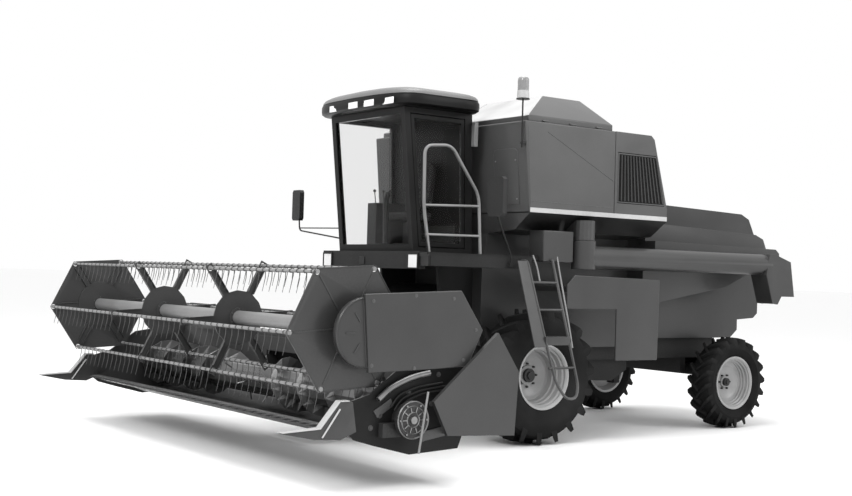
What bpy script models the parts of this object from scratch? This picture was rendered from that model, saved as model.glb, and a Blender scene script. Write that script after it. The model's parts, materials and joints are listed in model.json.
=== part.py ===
"""Combine harvester with an 18 ft cutting platform, built as separate closed solids.

Design frame: +X is the machine's left, -Y its front, +Z up. The ground is z = 0 and the
front axle is at y = 0. A root empty moves everything so that the origin lies at the
middle of the machine's footprint. All lengths are metres.
"""
import math

import bmesh
import bpy
from mathutils import Matrix, Vector

for old in list(bpy.data.objects):
    bpy.data.objects.remove(old, do_unlink=True)

# ---------------------------------------------------------------- driving dimensions
GAP = 0.0003                        # paint-thick gap between pieces that touch
ROOT = Vector((-0.275, -0.1575, 0.0))   # design frame -> footprint centre

# running gear
FRONT_R, FRONT_X, FRONT_HALF, FRONT_RIM = 0.735, 1.295, 0.207, 0.355
REAR_R, REAR_X, REAR_HALF, REAR_RIM = 0.565, 1.140, 0.135, 0.330
WHEELBASE = 3.371
KINGPIN_X = 0.90

# body
BODY_X = 0.74                       # half width of the threshing body
TANK_X = 1.45                       # half width of the grain tank
TANK_LOW, TANK_TOP = 2.51, 3.50
TANK_REAR = 1.03
WALL = 0.03
HOOD_X = 0.75

# cab
CAB_X = 0.74
CAB_FLOOR, CAB_TOP = 2.06, 3.60
CAB_FRONT_LOW, CAB_FRONT_TOP = -1.25, -1.42
CAB_REAR_LOW, CAB_REAR_TOP = -0.45, -0.50
PLATFORM_Z = 2.04

# header
HEAD_PIVOT = (-0.62, 1.42)          # feeder house hinge, y and z
HEAD_X0, HEAD_X1 = -2.62, 3.005     # outer faces of the end sheets
REEL = (-3.442, 1.347)              # reel axis, y and z
REEL_R = 0.556                      # circle that carries the bats
REEL_X0, REEL_X1 = -2.536, 2.928
REEL_PHASE = 3.8
ARM_PIVOT = (-2.25, 1.235)
AUGER = (-2.70, 0.675)
AUGER_TUBE, AUGER_FLIGHT = 0.165, 0.265
TINE = 0.19

# unloading auger
UNLOAD = (1.42, 0.60)               # swivel axis, x and y
UNLOAD_Z, UNLOAD_R = 2.055, 0.130

# header lift cylinders
CYL_X = 0.36
CYL_BASE = (-0.40, 0.60)
CYL_EYE = (-1.78, 0.47)

# ---------------------------------------------------------------- scene set-up
PARTS = bpy.data.collections.new("combine_harvester")
CUTTERS = bpy.data.collections.new("cutters")
bpy.context.scene.collection.children.link(PARTS)
bpy.context.scene.collection.children.link(CUTTERS)
root = bpy.data.objects.new("machine", None)
root.location = ROOT
PARTS.objects.link(root)

PAINT = {  # material: base colour, roughness, metallic
    "panel_paint": ((0.075, 0.075, 0.078), 0.40, 0.0),
    "tank_paint": ((0.105, 0.105, 0.108), 0.42, 0.0),
    "frame_paint": ((0.040, 0.040, 0.042), 0.55, 0.0),
    "cab_black": ((0.012, 0.012, 0.013), 0.35, 0.0),
    "roof_grey": ((0.20, 0.20, 0.21), 0.45, 0.0),
    "rim_paint": ((0.42, 0.42, 0.42), 0.38, 0.0),
    "tyre_rubber": ((0.018, 0.018, 0.018), 0.85, 0.0),
    "worn_steel": ((0.38, 0.38, 0.38), 0.38, 1.0),
    "cast_iron": ((0.07, 0.07, 0.07), 0.55, 0.6),
    "rod_chrome": ((0.65, 0.65, 0.65), 0.12, 1.0),
    "clear_glass": ((0.75, 0.78, 0.78), 0.03, 0.0),
    "seat_fabric": ((0.06, 0.06, 0.06), 0.90, 0.0),
    "black_plastic": ((0.020, 0.020, 0.020), 0.50, 0.0),
    "beacon_lens": ((0.70, 0.70, 0.70), 0.10, 0.0),
}


def material(name):
    got = bpy.data.materials.get(name)
    if got:
        return got
    rgb, rough, metal = PAINT[name]
    got = bpy.data.materials.new(name)
    got.use_nodes = True
    shader = got.node_tree.nodes["Principled BSDF"]
    shader.inputs["Base Color"].default_value = (*rgb, 1.0)
    shader.inputs["Roughness"].default_value = rough
    shader.inputs["Metallic"].default_value = metal
    return got


# ---------------------------------------------------------------- modelling helpers
def as_object(bm, name="piece"):
    bmesh.ops.recalc_face_normals(bm, faces=bm.faces[:])
    me = bpy.data.meshes.new(name)
    bm.to_mesh(me)
    bm.free()
    ob = bpy.data.objects.new(name, me)
    CUTTERS.objects.link(ob)
    ob.hide_render = True
    ob.display_type = "WIRE"
    return ob


def evaluated(ob):
    bpy.context.view_layer.update()
    graph = bpy.context.evaluated_depsgraph_get()
    me = bpy.data.meshes.new_from_object(ob.evaluated_get(graph))
    me.transform(ob.matrix_world)
    bpy.data.objects.remove(ob, do_unlink=True)
    bm = bmesh.new()
    bm.from_mesh(me)
    bmesh.ops.remove_doubles(bm, verts=bm.verts[:], dist=1e-6)
    return as_object(bm)


def box(x0, x1, y0, y1, z0, z1):
    bm = bmesh.new()
    size = Matrix.Diagonal((x1 - x0, y1 - y0, z1 - z0, 1.0))
    place = Matrix.Translation(((x0 + x1) / 2, (y0 + y1) / 2, (z0 + z1) / 2))
    bmesh.ops.create_cube(bm, size=1.0, matrix=place @ size)
    return as_object(bm)


def bar(a, b, radius, sides=10, radius2=None):
    """Straight round bar from point a to point b."""
    a, b = Vector(a), Vector(b)
    turn = Vector((0, 0, 1)).rotation_difference(b - a).to_matrix().to_4x4()
    bm = bmesh.new()
    bmesh.ops.create_cone(bm, cap_ends=True, segments=sides, radius1=radius,
                          radius2=radius if radius2 is None else radius2,
                          depth=(b - a).length,
                          matrix=Matrix.Translation((a + b) / 2) @ turn)
    return as_object(bm)


def disc(x0, x1, y, z, radius, sides=24, spin=0.0):
    """Round plate across the machine, its axis along X."""
    bm = bmesh.new()
    place = (Matrix.Translation(((x0 + x1) / 2, y, z)) @ Matrix.Rotation(spin, 4, "X")
             @ Matrix.Rotation(math.pi / 2, 4, "Y"))
    bmesh.ops.create_cone(bm, cap_ends=True, segments=sides, radius1=radius,
                          radius2=radius, depth=x1 - x0, matrix=place)
    return as_object(bm)


FACING = {"x": Matrix(((0, 0, 1), (1, 0, 0), (0, 1, 0))),   # outline in y, z
          "y": Matrix(((1, 0, 0), (0, 0, -1), (0, 1, 0))),  # outline in x, z
          "z": Matrix.Identity(3)}                          # outline in x, y


def plate(axis, points, lo, hi):
    """Flat outline seen along an axis, from lo to hi on that axis."""
    cu = bpy.data.curves.new("outline", "CURVE")
    cu.dimensions = "2D"
    cu.fill_mode = "BOTH"
    cu.extrude = (hi - lo) / 2
    line = cu.splines.new("POLY")
    line.points.add(len(points) - 1)
    for p, (a, b) in zip(line.points, points):
        p.co = (a, b, 0.0, 1.0)
    line.use_cyclic_u = True
    ob = bpy.data.objects.new("outline", cu)
    CUTTERS.objects.link(ob)
    shift = Vector((0, 0, 0))
    shift["xyz".index(axis)] = (lo + hi) / 2
    ob.matrix_world = Matrix.Translation(shift) @ FACING[axis].to_4x4()
    return evaluated(ob)


def rounded(points, radius, closed=False):
    """Round the corners of a route with a few short chords."""
    pts = [Vector(p) for p in points]
    out = []
    n = len(pts)
    for i, p in enumerate(pts):
        if not closed and i in (0, n - 1):
            out.append(p)
            continue
        before, after = pts[i - 1], pts[(i + 1) % n]
        r = min(radius, (p - before).length * 0.45, (p - after).length * 0.45)
        a, b = p + (before - p).normalized() * r, p + (after - p).normalized() * r
        for k in range(4):
            t = k / 3
            out.append(a * (1 - t) ** 2 + p * 2 * t * (1 - t) + b * t ** 2)
    return out


def pipe(points, radius, bend=0.05, closed=False, resolution=1):
    """Bent tube along a route."""
    cu = bpy.data.curves.new("route", "CURVE")
    cu.dimensions = "3D"
    cu.bevel_depth = radius
    cu.bevel_resolution = resolution
    cu.use_fill_caps = not closed
    route = rounded(points, bend, closed)
    line = cu.splines.new("POLY")
    line.points.add(len(route) - 1)
    for p, q in zip(line.points, route):
        p.co = (*q, 1.0)
    line.use_cyclic_u = closed
    ob = bpy.data.objects.new("route", cu)
    CUTTERS.objects.link(ob)
    return evaluated(ob)


def turned(profile, steps, place):
    """Profile of (radius, height) pairs, top to bottom down its outer side."""
    bm = bmesh.new()
    verts = [bm.verts.new((r, 0.0, h)) for r, h in profile]
    for a, b in zip(verts, verts[1:]):
        bm.edges.new((a, b))
    if profile[0][0] > 0.0:
        bm.edges.new((verts[-1], verts[0]))
    me = bpy.data.meshes.new("profile")
    bm.to_mesh(me)
    bm.free()
    ob = bpy.data.objects.new("profile", me)
    CUTTERS.objects.link(ob)
    screw = ob.modifiers.new("turn", "SCREW")
    screw.axis = "Z"
    screw.angle = math.tau
    screw.steps = screw.render_steps = steps
    screw.use_merge_vertices = True
    screw.merge_threshold = 0.0001
    ob.matrix_world = place
    return evaluated(ob)


def combine(base, others, operation="UNION"):
    for other in others:
        step = base.modifiers.new("step", "BOOLEAN")
        step.operation = operation
        step.solver = "EXACT"
        step.object = other
    done = evaluated(base)
    for other in others:
        bpy.data.objects.remove(other, do_unlink=True)
    return done


def fuse(base, *others):
    return combine(base, others, "UNION")


def cut(base, *others):
    return combine(base, others, "DIFFERENCE")


def together(*pieces):
    """Several solids that do not touch, carried as one piece."""
    bm = bmesh.new()
    for ob in pieces:
        ob.data.transform(ob.matrix_world)
        bm.from_mesh(ob.data)
        bpy.data.objects.remove(ob, do_unlink=True)
    return as_object(bm)


def mirrored(ob):
    """The same shape on the other side of x = 0."""
    bm = bmesh.new()
    bm.from_mesh(ob.data)
    bmesh.ops.scale(bm, vec=(-1, 1, 1), verts=bm.verts[:])
    bmesh.ops.reverse_faces(bm, faces=bm.faces[:])
    return as_object(bm)


def node(name, ob, paint, pivot=(0.0, 0.0, 0.0)):
    """Finish a piece: name it, paint it and put its origin on its pivot."""
    ob.name = ob.data.name = name
    ob.data.materials.clear()
    ob.data.materials.append(material(paint))
    ob.data.transform(Matrix.Translation(-Vector(pivot)))
    ob.data.shade_smooth()
    ob.data.set_sharp_from_angle(angle=math.radians(28))
    CUTTERS.objects.unlink(ob)
    PARTS.objects.link(ob)
    ob.hide_render = False
    ob.display_type = "TEXTURED"
    ob.parent = root
    ob.location = pivot
    return ob


# ---------------------------------------------------------------- wheels and axles
def tyre_profile(radius, rim, half):
    bead = half - 0.018
    return [(rim - 0.0097, bead), (rim + 0.003, bead), (rim + 0.05, half + 0.012), ((radius + rim) / 2, half + 0.028),
            (radius - 0.05, half + 0.020), (radius - 0.006, half - 0.006), (radius, half - 0.07),
            (radius, 0.07 - half), (radius - 0.006, 0.006 - half), (radius - 0.05, -half - 0.020),
            ((radius + rim) / 2, -half - 0.028), (rim + 0.05, -half - 0.012), (rim + 0.003, -bead), (rim - 0.0097, -bead)]


def rim_profile(rim, half, dish, hub):
    return [(0.0, dish + 0.03), (hub, dish + 0.03), (hub, dish - 0.02), (rim - 0.075, dish + 0.04),
            (rim - 0.035, half), (rim, half), (rim, half - 0.017), (rim - 0.010, half - 0.017),
            (rim - 0.010, 0.017 - half), (rim, 0.017 - half), (rim, -half), (rim - 0.035, -half),
            (rim - 0.075, dish), (hub, dish - 0.05), (0.0, dish - 0.05)]


# axle, side sign, wheel centre y, x, radius, rim radius, rim half width, dish depth, hub radius
WHEELS = (
    ("front", "left", 1, 0.0, FRONT_X, FRONT_R, FRONT_RIM, FRONT_HALF, -0.080, 0.105),
    ("front", "right", -1, 0.0, FRONT_X, FRONT_R, FRONT_RIM, FRONT_HALF, -0.080, 0.105),
    ("rear", "left", 1, WHEELBASE, REAR_X, REAR_R, REAR_RIM, REAR_HALF, -0.030, 0.070),
    ("rear", "right", -1, WHEELBASE, REAR_X, REAR_R, REAR_RIM, REAR_HALF, -0.030, 0.070),
)
for axle, side, sign, wy, wx, wr, rim_r, half, dish, hub in WHEELS:
    centre = Vector((sign * wx, wy, wr))
    steps = 28 if axle == "front" else 24
    place = (Matrix.Translation(centre) @ Matrix.Rotation(sign * math.pi / 2, 4, "Y")
             @ Matrix.Rotation(math.pi / steps, 4, "Z"))
    # the flats between the steps reach the ground, so the corners stand a little proud
    grow = 1.0 / math.cos(math.pi / steps)
    tyre = turned([(r * grow, h) for r, h in tyre_profile(wr, rim_r, half)], steps, place)
    node(f"{axle}_tyre_{side}", tyre, "tyre_rubber", centre)
    rim = turned(rim_profile(rim_r, half, dish, hub), steps, place)
    node(f"{axle}_rim_{side}", rim, "rim_paint", centre)

axle = fuse(box(-0.30, 0.30, -0.28, 0.30, 0.50, 1.0 - GAP),
            bar((-0.90, 0, FRONT_R), (0.90, 0, FRONT_R), 0.085, 12),
            box(0.80, 0.985, -0.15, 0.15, 0.60, 1.10), box(-0.985, -0.80, -0.15, 0.15, 0.60, 1.10),
            bar((0.95, 0, FRONT_R), (FRONT_X - 0.130 - GAP, 0, FRONT_R), 0.070, 12),
            bar((-0.95, 0, FRONT_R), (-FRONT_X + 0.130 + GAP, 0, FRONT_R), 0.070, 12),
            box(-0.46, -0.28, -0.10, 0.12, 0.64, 0.98), box(0.28, 0.46, -0.10, 0.12, 0.64, 0.98),
            box(-0.46, 0.46, -0.32, -0.26, 0.54, 0.72), box(0.42, 0.46, -0.46, -0.30, 0.54, 0.66), box(-0.46, -0.42, -0.46, -0.30, 0.54, 0.66))
node("front_axle", axle, "cast_iron")

rear_z = REAR_R
beam = fuse(box(-0.82, 0.82, WHEELBASE - 0.075, WHEELBASE + 0.075, 0.62, 0.76),
            bar((0, WHEELBASE - 0.17 + GAP, 0.72), (0, WHEELBASE + 0.17 - GAP, 0.72), 0.070, 12),
            box(0.80, 0.84, WHEELBASE - 0.05, WHEELBASE + 0.05, 0.385, 0.935),
            box(-0.84, -0.80, WHEELBASE - 0.05, WHEELBASE + 0.05, 0.385, 0.935),
            *[box(*sorted((s * 0.82, s * 0.945)), WHEELBASE - 0.05, WHEELBASE + 0.05, z, z + 0.03) for s in (1, -1) for z in (0.385, 0.905)])
node("rear_axle_beam", beam, "frame_paint")

for side, sign in (("left", 1), ("right", -1)):
    knuckle = fuse(bar((sign * KINGPIN_X, WHEELBASE, 0.4155), (sign * KINGPIN_X, WHEELBASE, 0.9045), 0.040, 12),
                   bar((sign * KINGPIN_X, WHEELBASE, rear_z),
                       (sign * (REAR_X - 0.080 - GAP), WHEELBASE, rear_z), 0.040, 12),
                   box(*sorted((sign * (KINGPIN_X - 0.02), sign * (KINGPIN_X + 0.02))),
                       WHEELBASE - 0.22, WHEELBASE, 0.50, 0.53))
    node(f"steering_knuckle_{side}", knuckle, "cast_iron", (sign * KINGPIN_X, WHEELBASE, rear_z))

# ---------------------------------------------------------------- main body
body = plate("x", [(-0.30, 1.0), (-0.30, 1.95), (-0.22, 2.31), (1.955, 2.31), (1.955, 1.0)], -BODY_X, BODY_X)
under = plate("y", [(-TANK_X + 0.002, TANK_LOW - GAP), (-1.20, 2.33), (-0.70, 2.29), (0.70, 2.29),
                    (1.20, 2.33), (TANK_X - 0.002, TANK_LOW - GAP)], -0.225, 1.885)
stub = bar((UNLOAD[0], UNLOAD[1], 2.24), (UNLOAD[0], UNLOAD[1], 2.46), 0.120, 16)
stub_box = box(1.15, UNLOAD[0], UNLOAD[1] - 0.10, UNLOAD[1] + 0.10, 2.30, 2.46)
shield_arms = []
for sign in (1, -1):
    lo, hi = sorted((sign * (BODY_X - 0.01), sign * 1.474))
    shield_arms += [box(lo, hi, 1.60, 1.66, 1.70, 1.76), box(lo, hi, 0.50, 0.56, 1.66, 1.72)]
node("separator_body", fuse(body, under, stub, stub_box, *shield_arms), "panel_paint")

shoe = plate("x", [(0.62, 1.0 - GAP), (0.62, 0.74), (1.05, 0.60), (1.93, 0.57), (2.18, 0.70), (2.18, 1.0 - GAP)],
             -0.56, 0.56)
node("cleaning_shoe", shoe, "frame_paint")

rail_line = [(0.90, 0.84), (0.90, 1.0 - GAP), (1.955 + GAP, 1.0 - GAP), (1.955 + GAP, 1.10 - GAP),
             (3.66, 1.10 - GAP), (3.72, 0.98), (3.72, 0.90), (3.60, 0.84)]
rails = fuse(plate("x", rail_line, 0.58, 0.64), plate("x", rail_line, -0.64, -0.58),
             box(-0.60, 0.60, 3.62, 3.72 - GAP, 0.90, 0.98), box(-0.60, 0.60, 2.30, 2.40, 0.90, 1.02),
             box(-0.60, 0.60, WHEELBASE - 0.26, WHEELBASE - 0.17, 0.64, 1.04),
             box(-0.60, 0.60, WHEELBASE + 0.17, WHEELBASE + 0.26, 0.64, 1.04),
             box(-0.16, 0.16, 3.70, 3.95, 0.88, 1.00))
node("chassis_frame", rails, "frame_paint")

HOOD_REAR = [(4.05, 2.725), (4.20, 2.66), (4.31, 2.46), (4.415, 1.74), (4.41, 1.42)]
hood = plate("x", [(1.955 + GAP, 1.10), (1.955 + GAP, 2.785)] + HOOD_REAR
             + [(4.33, 1.357), (4.01, 1.336), (4.01, 1.20), (3.88, 1.10)], -HOOD_X, HOOD_X)
inside = plate("x", [(2.30, 1.02), (2.30, 2.10), (2.70, 2.68), (4.03, 2.68), (4.15, 2.63), (4.265, 2.44),
                     (4.375, 1.74), (4.375, 1.02)], WALL - HOOD_X, HOOD_X - WALL)
straw_hood = cut(hood, inside)

# stepped covers along both sides of the hood
step_b = plate("x", [(1.96, 2.20), (1.96, 2.515), (3.99, 2.448), (4.14, 2.395), (4.20, 2.28), (4.20, 2.20)],
               HOOD_X - 0.012, 1.04)
step_c = plate("x", [(1.90, 2.14), (1.90, 2.288), (4.12, 2.262), (4.19, 2.21), (4.19, 2.14)], 0.98, 1.265)
side_low = plate("x", [(1.962, 1.505), (1.962, 2.15), (4.10, 2.15), (4.10, 2.02), (3.46, 1.76), (2.34, 1.568)],
                 0.985, 1.015)
tie = box(HOOD_X - 0.012, 1.0, 1.964, 2.02, 1.60, 2.21)
tie2 = box(HOOD_X - 0.012, 1.0, 3.95, 4.0, 1.98, 2.21)
left_cover = fuse(step_b, step_c, side_low, tie, tie2)
right_cover = mirrored(left_cover)
node("straw_hood", fuse(straw_hood, left_cover, right_cover), "panel_paint")

# grain tank, engine hood and what they hold
tank = plate("x", [(-0.232, TANK_LOW), (-0.322, TANK_TOP), (TANK_REAR, TANK_TOP), (TANK_REAR, TANK_LOW)],
             -TANK_X, TANK_X)
hold = plate("x", [(-0.205, TANK_LOW + WALL), (-0.295, TANK_TOP + 0.1), (TANK_REAR - WALL, TANK_TOP + 0.1),
                   (TANK_REAR - WALL, TANK_LOW + WALL)], WALL - TANK_X, TANK_X - WALL)
node("grain_tank", cut(tank, hold), "tank_paint")

DOOR_LINE = [(1.075, 2.69), (1.075, 3.26), (1.685, 3.26), (1.835, 2.69)]
hood2 = plate("x", [(TANK_REAR + GAP, TANK_LOW), (TANK_REAR + GAP, TANK_TOP), (1.60, TANK_TOP), (1.655, 3.455),
                    (1.887, 2.66), (1.887, TANK_LOW)], -TANK_X, TANK_X)
bay = plate("x", [(TANK_REAR + WALL, TANK_LOW + WALL), (TANK_REAR + WALL, TANK_TOP - WALL), (1.585, TANK_TOP - WALL),
                  (1.630, 3.43), (1.857, 2.66), (1.857, TANK_LOW + WALL)], WALL - TANK_X, TANK_X - WALL)
doorway = plate("x", [(1.070, 2.685), (1.070, 3.265), (1.688, 3.265), (1.8405, 2.685)], TANK_X - 0.1, TANK_X + 0.1)
node("engine_hood", cut(hood2, bay, doorway), "tank_paint")
node("engine_door", plate("x", DOOR_LINE, TANK_X - WALL, TANK_X), "tank_paint", (TANK_X, DOOR_LINE[0][0], 2.69))
node("engine_block", box(-0.62, 0.50, 1.12, 1.62, 2.62, 3.22), "cast_iron", (0, 1.37, 2.62))

# tank cover: two hipped leaves that fold outwards
def leaf(grow):
    """Half of a hipped lid, from its rim up to its flat top; grow shrinks it for the hollow."""
    g = grow
    if g:
        levels = ((TANK_TOP - 0.05, 0.0), (3.54, 0.0), (3.845, 0.6))
    else:
        levels = ((TANK_TOP + GAP, 0.0), (3.57, 0.0), (3.87, 1.0))
    bm = bmesh.new()
    rings = []
    for z, t in levels:
        t = 1.0 if t else 0.0
        x1, y0, y1 = 1.40 - 0.40 * t - g, -0.24 + 0.54 * t + g, 1.02 - 0.15 * t - g
        rings.append([bm.verts.new(p) for p in ((0.004, y0, z), (x1, y0, z), (x1, y1, z), (0.004, y1, z))])
    bm.faces.new(rings[0])
    bm.faces.new(rings[-1])
    for a, b in zip(rings, rings[1:]):
        for i in range(4):
            bm.faces.new((a[i], a[(i + 1) % 4], b[(i + 1) % 4], b[i]))
    return as_object(bm)


left_leaf = cut(leaf(0.0), leaf(0.03))
right_leaf = mirrored(left_leaf)
node("tank_cover_left", left_leaf, "frame_paint", (1.40, 0.4, TANK_TOP + 0.02))
node("tank_cover_right", right_leaf, "frame_paint", (-1.40, 0.4, TANK_TOP + 0.02))

# ---------------------------------------------------------------- cab and platform
base = box(-0.95, 0.95, -1.27, -0.30 - GAP, 1.90, 2.0 - GAP)
lights = box(-0.97, 0.97, -1.33, -1.2505, 1.865, 2.055)
trunnion = [(-0.30 - GAP, 1.25), (-0.30 - GAP, 1.95), (-0.80, 1.95), (-0.74, 1.42), (-0.66, 1.32), (-0.56, 1.32)]
plates = [plate("x", trunnion, 0.535, 0.575), plate("x", trunnion, -0.575, -0.535)]
pins = [bar((0.505, *HEAD_PIVOT), (0.56, *HEAD_PIVOT), 0.045, 12), bar((-0.56, *HEAD_PIVOT), (-0.505, *HEAD_PIVOT), 0.045, 12)]
node("cab_base_frame", fuse(base, lights, *plates, *pins), "frame_paint")

def cab_line(inset, top):
    lean = (CAB_FRONT_TOP - CAB_FRONT_LOW) / (CAB_TOP - CAB_FLOOR)
    back = (CAB_REAR_TOP - CAB_REAR_LOW) / (CAB_TOP - CAB_FLOOR)
    z0 = 2.0 if inset == 0 else CAB_FLOOR
    return [(CAB_FRONT_LOW + inset + lean * (z0 - CAB_FLOOR), z0), (CAB_FRONT_LOW + inset + lean * (top - CAB_FLOOR), top),
            (CAB_REAR_LOW - inset + back * (top - CAB_FLOOR), top), (CAB_REAR_LOW - inset + back * (z0 - CAB_FLOOR), z0)]


def front_y(z, inset=0.0):
    return CAB_FRONT_LOW + inset + (CAB_FRONT_TOP - CAB_FRONT_LOW) / (CAB_TOP - CAB_FLOOR) * (z - CAB_FLOOR)


def rear_y(z, inset=0.0):
    return CAB_REAR_LOW - inset + (CAB_REAR_TOP - CAB_REAR_LOW) / (CAB_TOP - CAB_FLOOR) * (z - CAB_FLOOR)


shell = plate("x", cab_line(0.0, CAB_TOP), -CAB_X, CAB_X)
room = plate("x", cab_line(0.055, CAB_TOP + 0.1), 0.055 - CAB_X, CAB_X - 0.055)
SILL, HEADER_Z = 2.13, 3.53
front_hole = box(-0.66, 0.66, -1.7, -1.12, SILL, HEADER_Z)
side = [(front_y(2.10, 0.07), 2.10), (front_y(3.54, 0.07), 3.54), (rear_y(3.54, 0.10), 3.54), (rear_y(2.10, 0.10), 2.10)]
side_hole = plate("x", side, -1.0, 1.0)
node("cab_frame", cut(shell, room, front_hole, side_hole), "cab_black")


def slanted(z0, z1, inset, thick, x0, x1, y_at=front_y):
    s = 1 if y_at is front_y else -1
    return plate("x", [(y_at(z0, inset), z0), (y_at(z1, inset), z1), (y_at(z1, inset + thick), z1),
                       (y_at(z0, inset + thick), z0)], x0, x1)


M = 0.001
glass_side = [(front_y(2.10, 0.07) + M, 2.10 + M), (front_y(3.54, 0.07) + M, 3.54 - M),
              (rear_y(3.54, 0.10) - M, 3.54 - M), (rear_y(2.10, 0.10) - M, 2.10 + M)]
node("windshield", slanted(SILL + M, HEADER_Z - M, 0.018, 0.008, -0.66 + M, 0.66 - M), "clear_glass")
node("cab_side_window", plate("x", glass_side, -CAB_X + 0.018, -CAB_X + 0.026), "clear_glass")

# the door closes flush in the left opening and hangs on the leaning front post
D = 0.006
door_out = [(front_y(2.10, 0.07) + D, 2.10 + D), (front_y(3.54, 0.07) + D, 3.54 - D),
            (rear_y(3.54, 0.10) - D, 3.54 - D), (rear_y(2.10, 0.10) - D, 2.10 + D)]
door_in = [(front_y(2.16, 0.125), 2.16), (front_y(3.48, 0.125), 3.48), (rear_y(3.48, 0.155), 3.48), (rear_y(2.16, 0.155), 2.16)]
door = cut(plate("x", door_out, CAB_X - 0.035, CAB_X), plate("x", door_in, CAB_X - 0.1, CAB_X + 0.1))
DOOR_PIVOT = (CAB_X, front_y(2.10, 0.07) + D, 2.10)
node("cab_door", door, "cab_black", DOOR_PIVOT)
pane = [(front_y(2.16, 0.125) + M, 2.16 + M), (front_y(3.48, 0.125) + M, 3.48 - M),
        (rear_y(3.48, 0.155) - M, 3.48 - M), (rear_y(2.16, 0.155) - M, 2.16 + M)]
node("door_glass", plate("x", pane, CAB_X - 0.022, CAB_X - 0.014), "clear_glass", DOOR_PIVOT)

roof = plate("x", [(-1.56, 3.60 + GAP), (-1.63, 3.68), (-1.63, 3.74), (-1.50, 3.835), (-0.90, 3.85), (-0.50, 3.80),
                   (-0.41, 3.73), (-0.41, 3.63), (-0.45, 3.60 + GAP)], -0.93, 0.93)
node("cab_roof", roof, "roof_grey")

# seat on a post, with its back to the rear wall
node("seat_post", fuse(box(-0.20, 0.20, -0.86, -0.56, CAB_FLOOR + GAP, 2.16), box(-0.11, 0.11, -0.80, -0.60, 2.14, 2.40 - GAP)), "black_plastic")
node("operator_seat", fuse(box(-0.25, 0.25, -0.97, -0.62, 2.40, 2.52),
                           plate("x", [(-0.72, 2.50), (-0.63, 3.10), (-0.575, 3.10), (-0.60, 2.50)], -0.235, 0.235)), "seat_fabric")

column = bar((0, -1.10, CAB_FLOOR + 0.0305), (0, -1.12, 2.66), 0.035, 10)
foot = box(-0.12, 0.12, -1.16, -1.04, CAB_FLOOR + GAP, CAB_FLOOR + 0.08)
wheel = pipe([(0.18 * math.cos(a), -1.09 + 0.17 * math.sin(a), 2.70 + 0.05 * math.sin(a))
              for a in (k * math.tau / 12 for k in range(12))], 0.014, 0.001, True, 0)
spokes = [bar((-0.18, -1.09, 2.70), (0.18, -1.09, 2.70), 0.010, 6), bar((0, -1.12, 2.64), (0, -1.09, 2.715), 0.030, 10)]
node("steering_column", fuse(column, foot, wheel, *spokes), "black_plastic")

deck = plate("z", [(0.975, -1.335), (1.38, -1.50), (1.38, -0.025), (1.16, -0.025), (1.16, -0.24), (0.75, -0.24),
                   (CAB_X + GAP, -0.30), (CAB_X + GAP, -1.24), (0.975, -1.24)], 2.0, PLATFORM_Z)
skirt = box(1.34, 1.38, -1.482, -0.12, 1.90, 2.02)
lip = plate("z", [(0.985, -1.330), (1.37, -1.4865), (1.37, -1.44), (0.985, -1.29)], 1.90, 2.02)
RX = 1.33
rail_pipes = [
    pipe([(RX, -1.47, 2.02), (RX, -1.55, 2.50), (RX, -1.56, 3.13), (RX, -1.22, 3.16), (RX, -0.84, 2.66), (RX, -0.80, 2.02)], 0.016, 0.10),
    pipe([(RX, -1.555, 2.52), (RX, -0.835, 2.545)], 0.012, 0.01),
    pipe([(RX, -1.52, 2.22), (RX, -0.81, 2.23)], 0.012, 0.01)]
node("platform", fuse(deck, skirt, lip, *rail_pipes), "frame_paint")

# access ladder: leans out from the platform's edge
def lad(y, z):
    return (1.47 + 0.49 * (2.02 - z) / 1.46, y, z)


stringers = [pipe([(1.381, -0.27, 1.99), lad(-0.27, 1.99), lad(-0.235, 1.2), lad(-0.20, 0.72), lad(-0.10, 0.545), lad(0.05, 0.555),
                   lad(0.105, 0.68), lad(0.10, 1.2), lad(0.09, 2.0), (1.451, 0.09, 2.0)], 0.016, 0.07)]
treads = [bar(lad(-0.26, z), lad(0.10, z), 0.013, 8) for z in (1.76, 1.47, 0.866)]
wide = box(lad(0, 1.145)[0] - 0.11, lad(0, 1.145)[0] + 0.02, -0.245, 0.105, 1.10, 1.19)
side_plate = plate("x", [(-0.41, 1.985), (-0.27, 1.985), (-0.235, 1.08), (-0.40, 1.08)], 0.0, 0.012)
for v in side_plate.data.vertices:
    v.co.x += lad(0, v.co.z)[0] - 0.006
node("ladder", fuse(stringers[0], *treads, wide, side_plate), "worn_steel")

box_body = box(1.20, 1.45, -0.018, 0.42, 1.985, 2.329)
node("service_box", box_body, "panel_paint")

# mirrors and beacon
left_mirror = fuse(pipe([(1.41, -0.44, 1.935), (1.41, -0.44, 2.04), (1.60, -0.79, 2.42), (1.60, -0.80, 2.62)], 0.010, 0.05),
                   box(1.38 + GAP, 1.42, -0.46, -0.42, 1.92, 1.96),
                   plate("y", [(1.49, 2.46), (1.49, 2.82), (1.52, 2.845), (1.71, 2.845), (1.74, 2.82), (1.74, 2.46), (1.71, 2.43), (1.52, 2.43)],
                         -0.845, -0.79))
right_mirror = fuse(pipe([(-0.744, -1.235, 2.20), (-1.60, -1.30, 2.30), (-1.63, -1.30, 2.60)], 0.010, 0.05),
                    pipe([(-0.744, -1.245, 2.32), (-1.60, -1.30, 2.33)], 0.008, 0.01),
                    plate("y", [(-1.70, 2.45), (-1.70, 2.76), (-1.68, 2.79), (-1.54, 2.79), (-1.52, 2.76), (-1.52, 2.45), (-1.54, 2.42), (-1.68, 2.42)],
                          -1.355, -1.295))
node("mirror_left", left_mirror, "black_plastic")
node("mirror_right", right_mirror, "black_plastic")
beacon = fuse(bar((1.42, -0.345, 3.20), (1.42, -0.345, 3.76), 0.016, 8), box(1.395, 1.445, -0.352, -0.3035, 3.24, 3.27),
              bar((1.42, -0.345, 3.72), (1.42, -0.345, 3.80), 0.075, 16), bar((1.42, -0.345, 3.79), (1.42, -0.345, 3.965), 0.068, 16, 0.062))
node("beacon", beacon, "beacon_lens")

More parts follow.
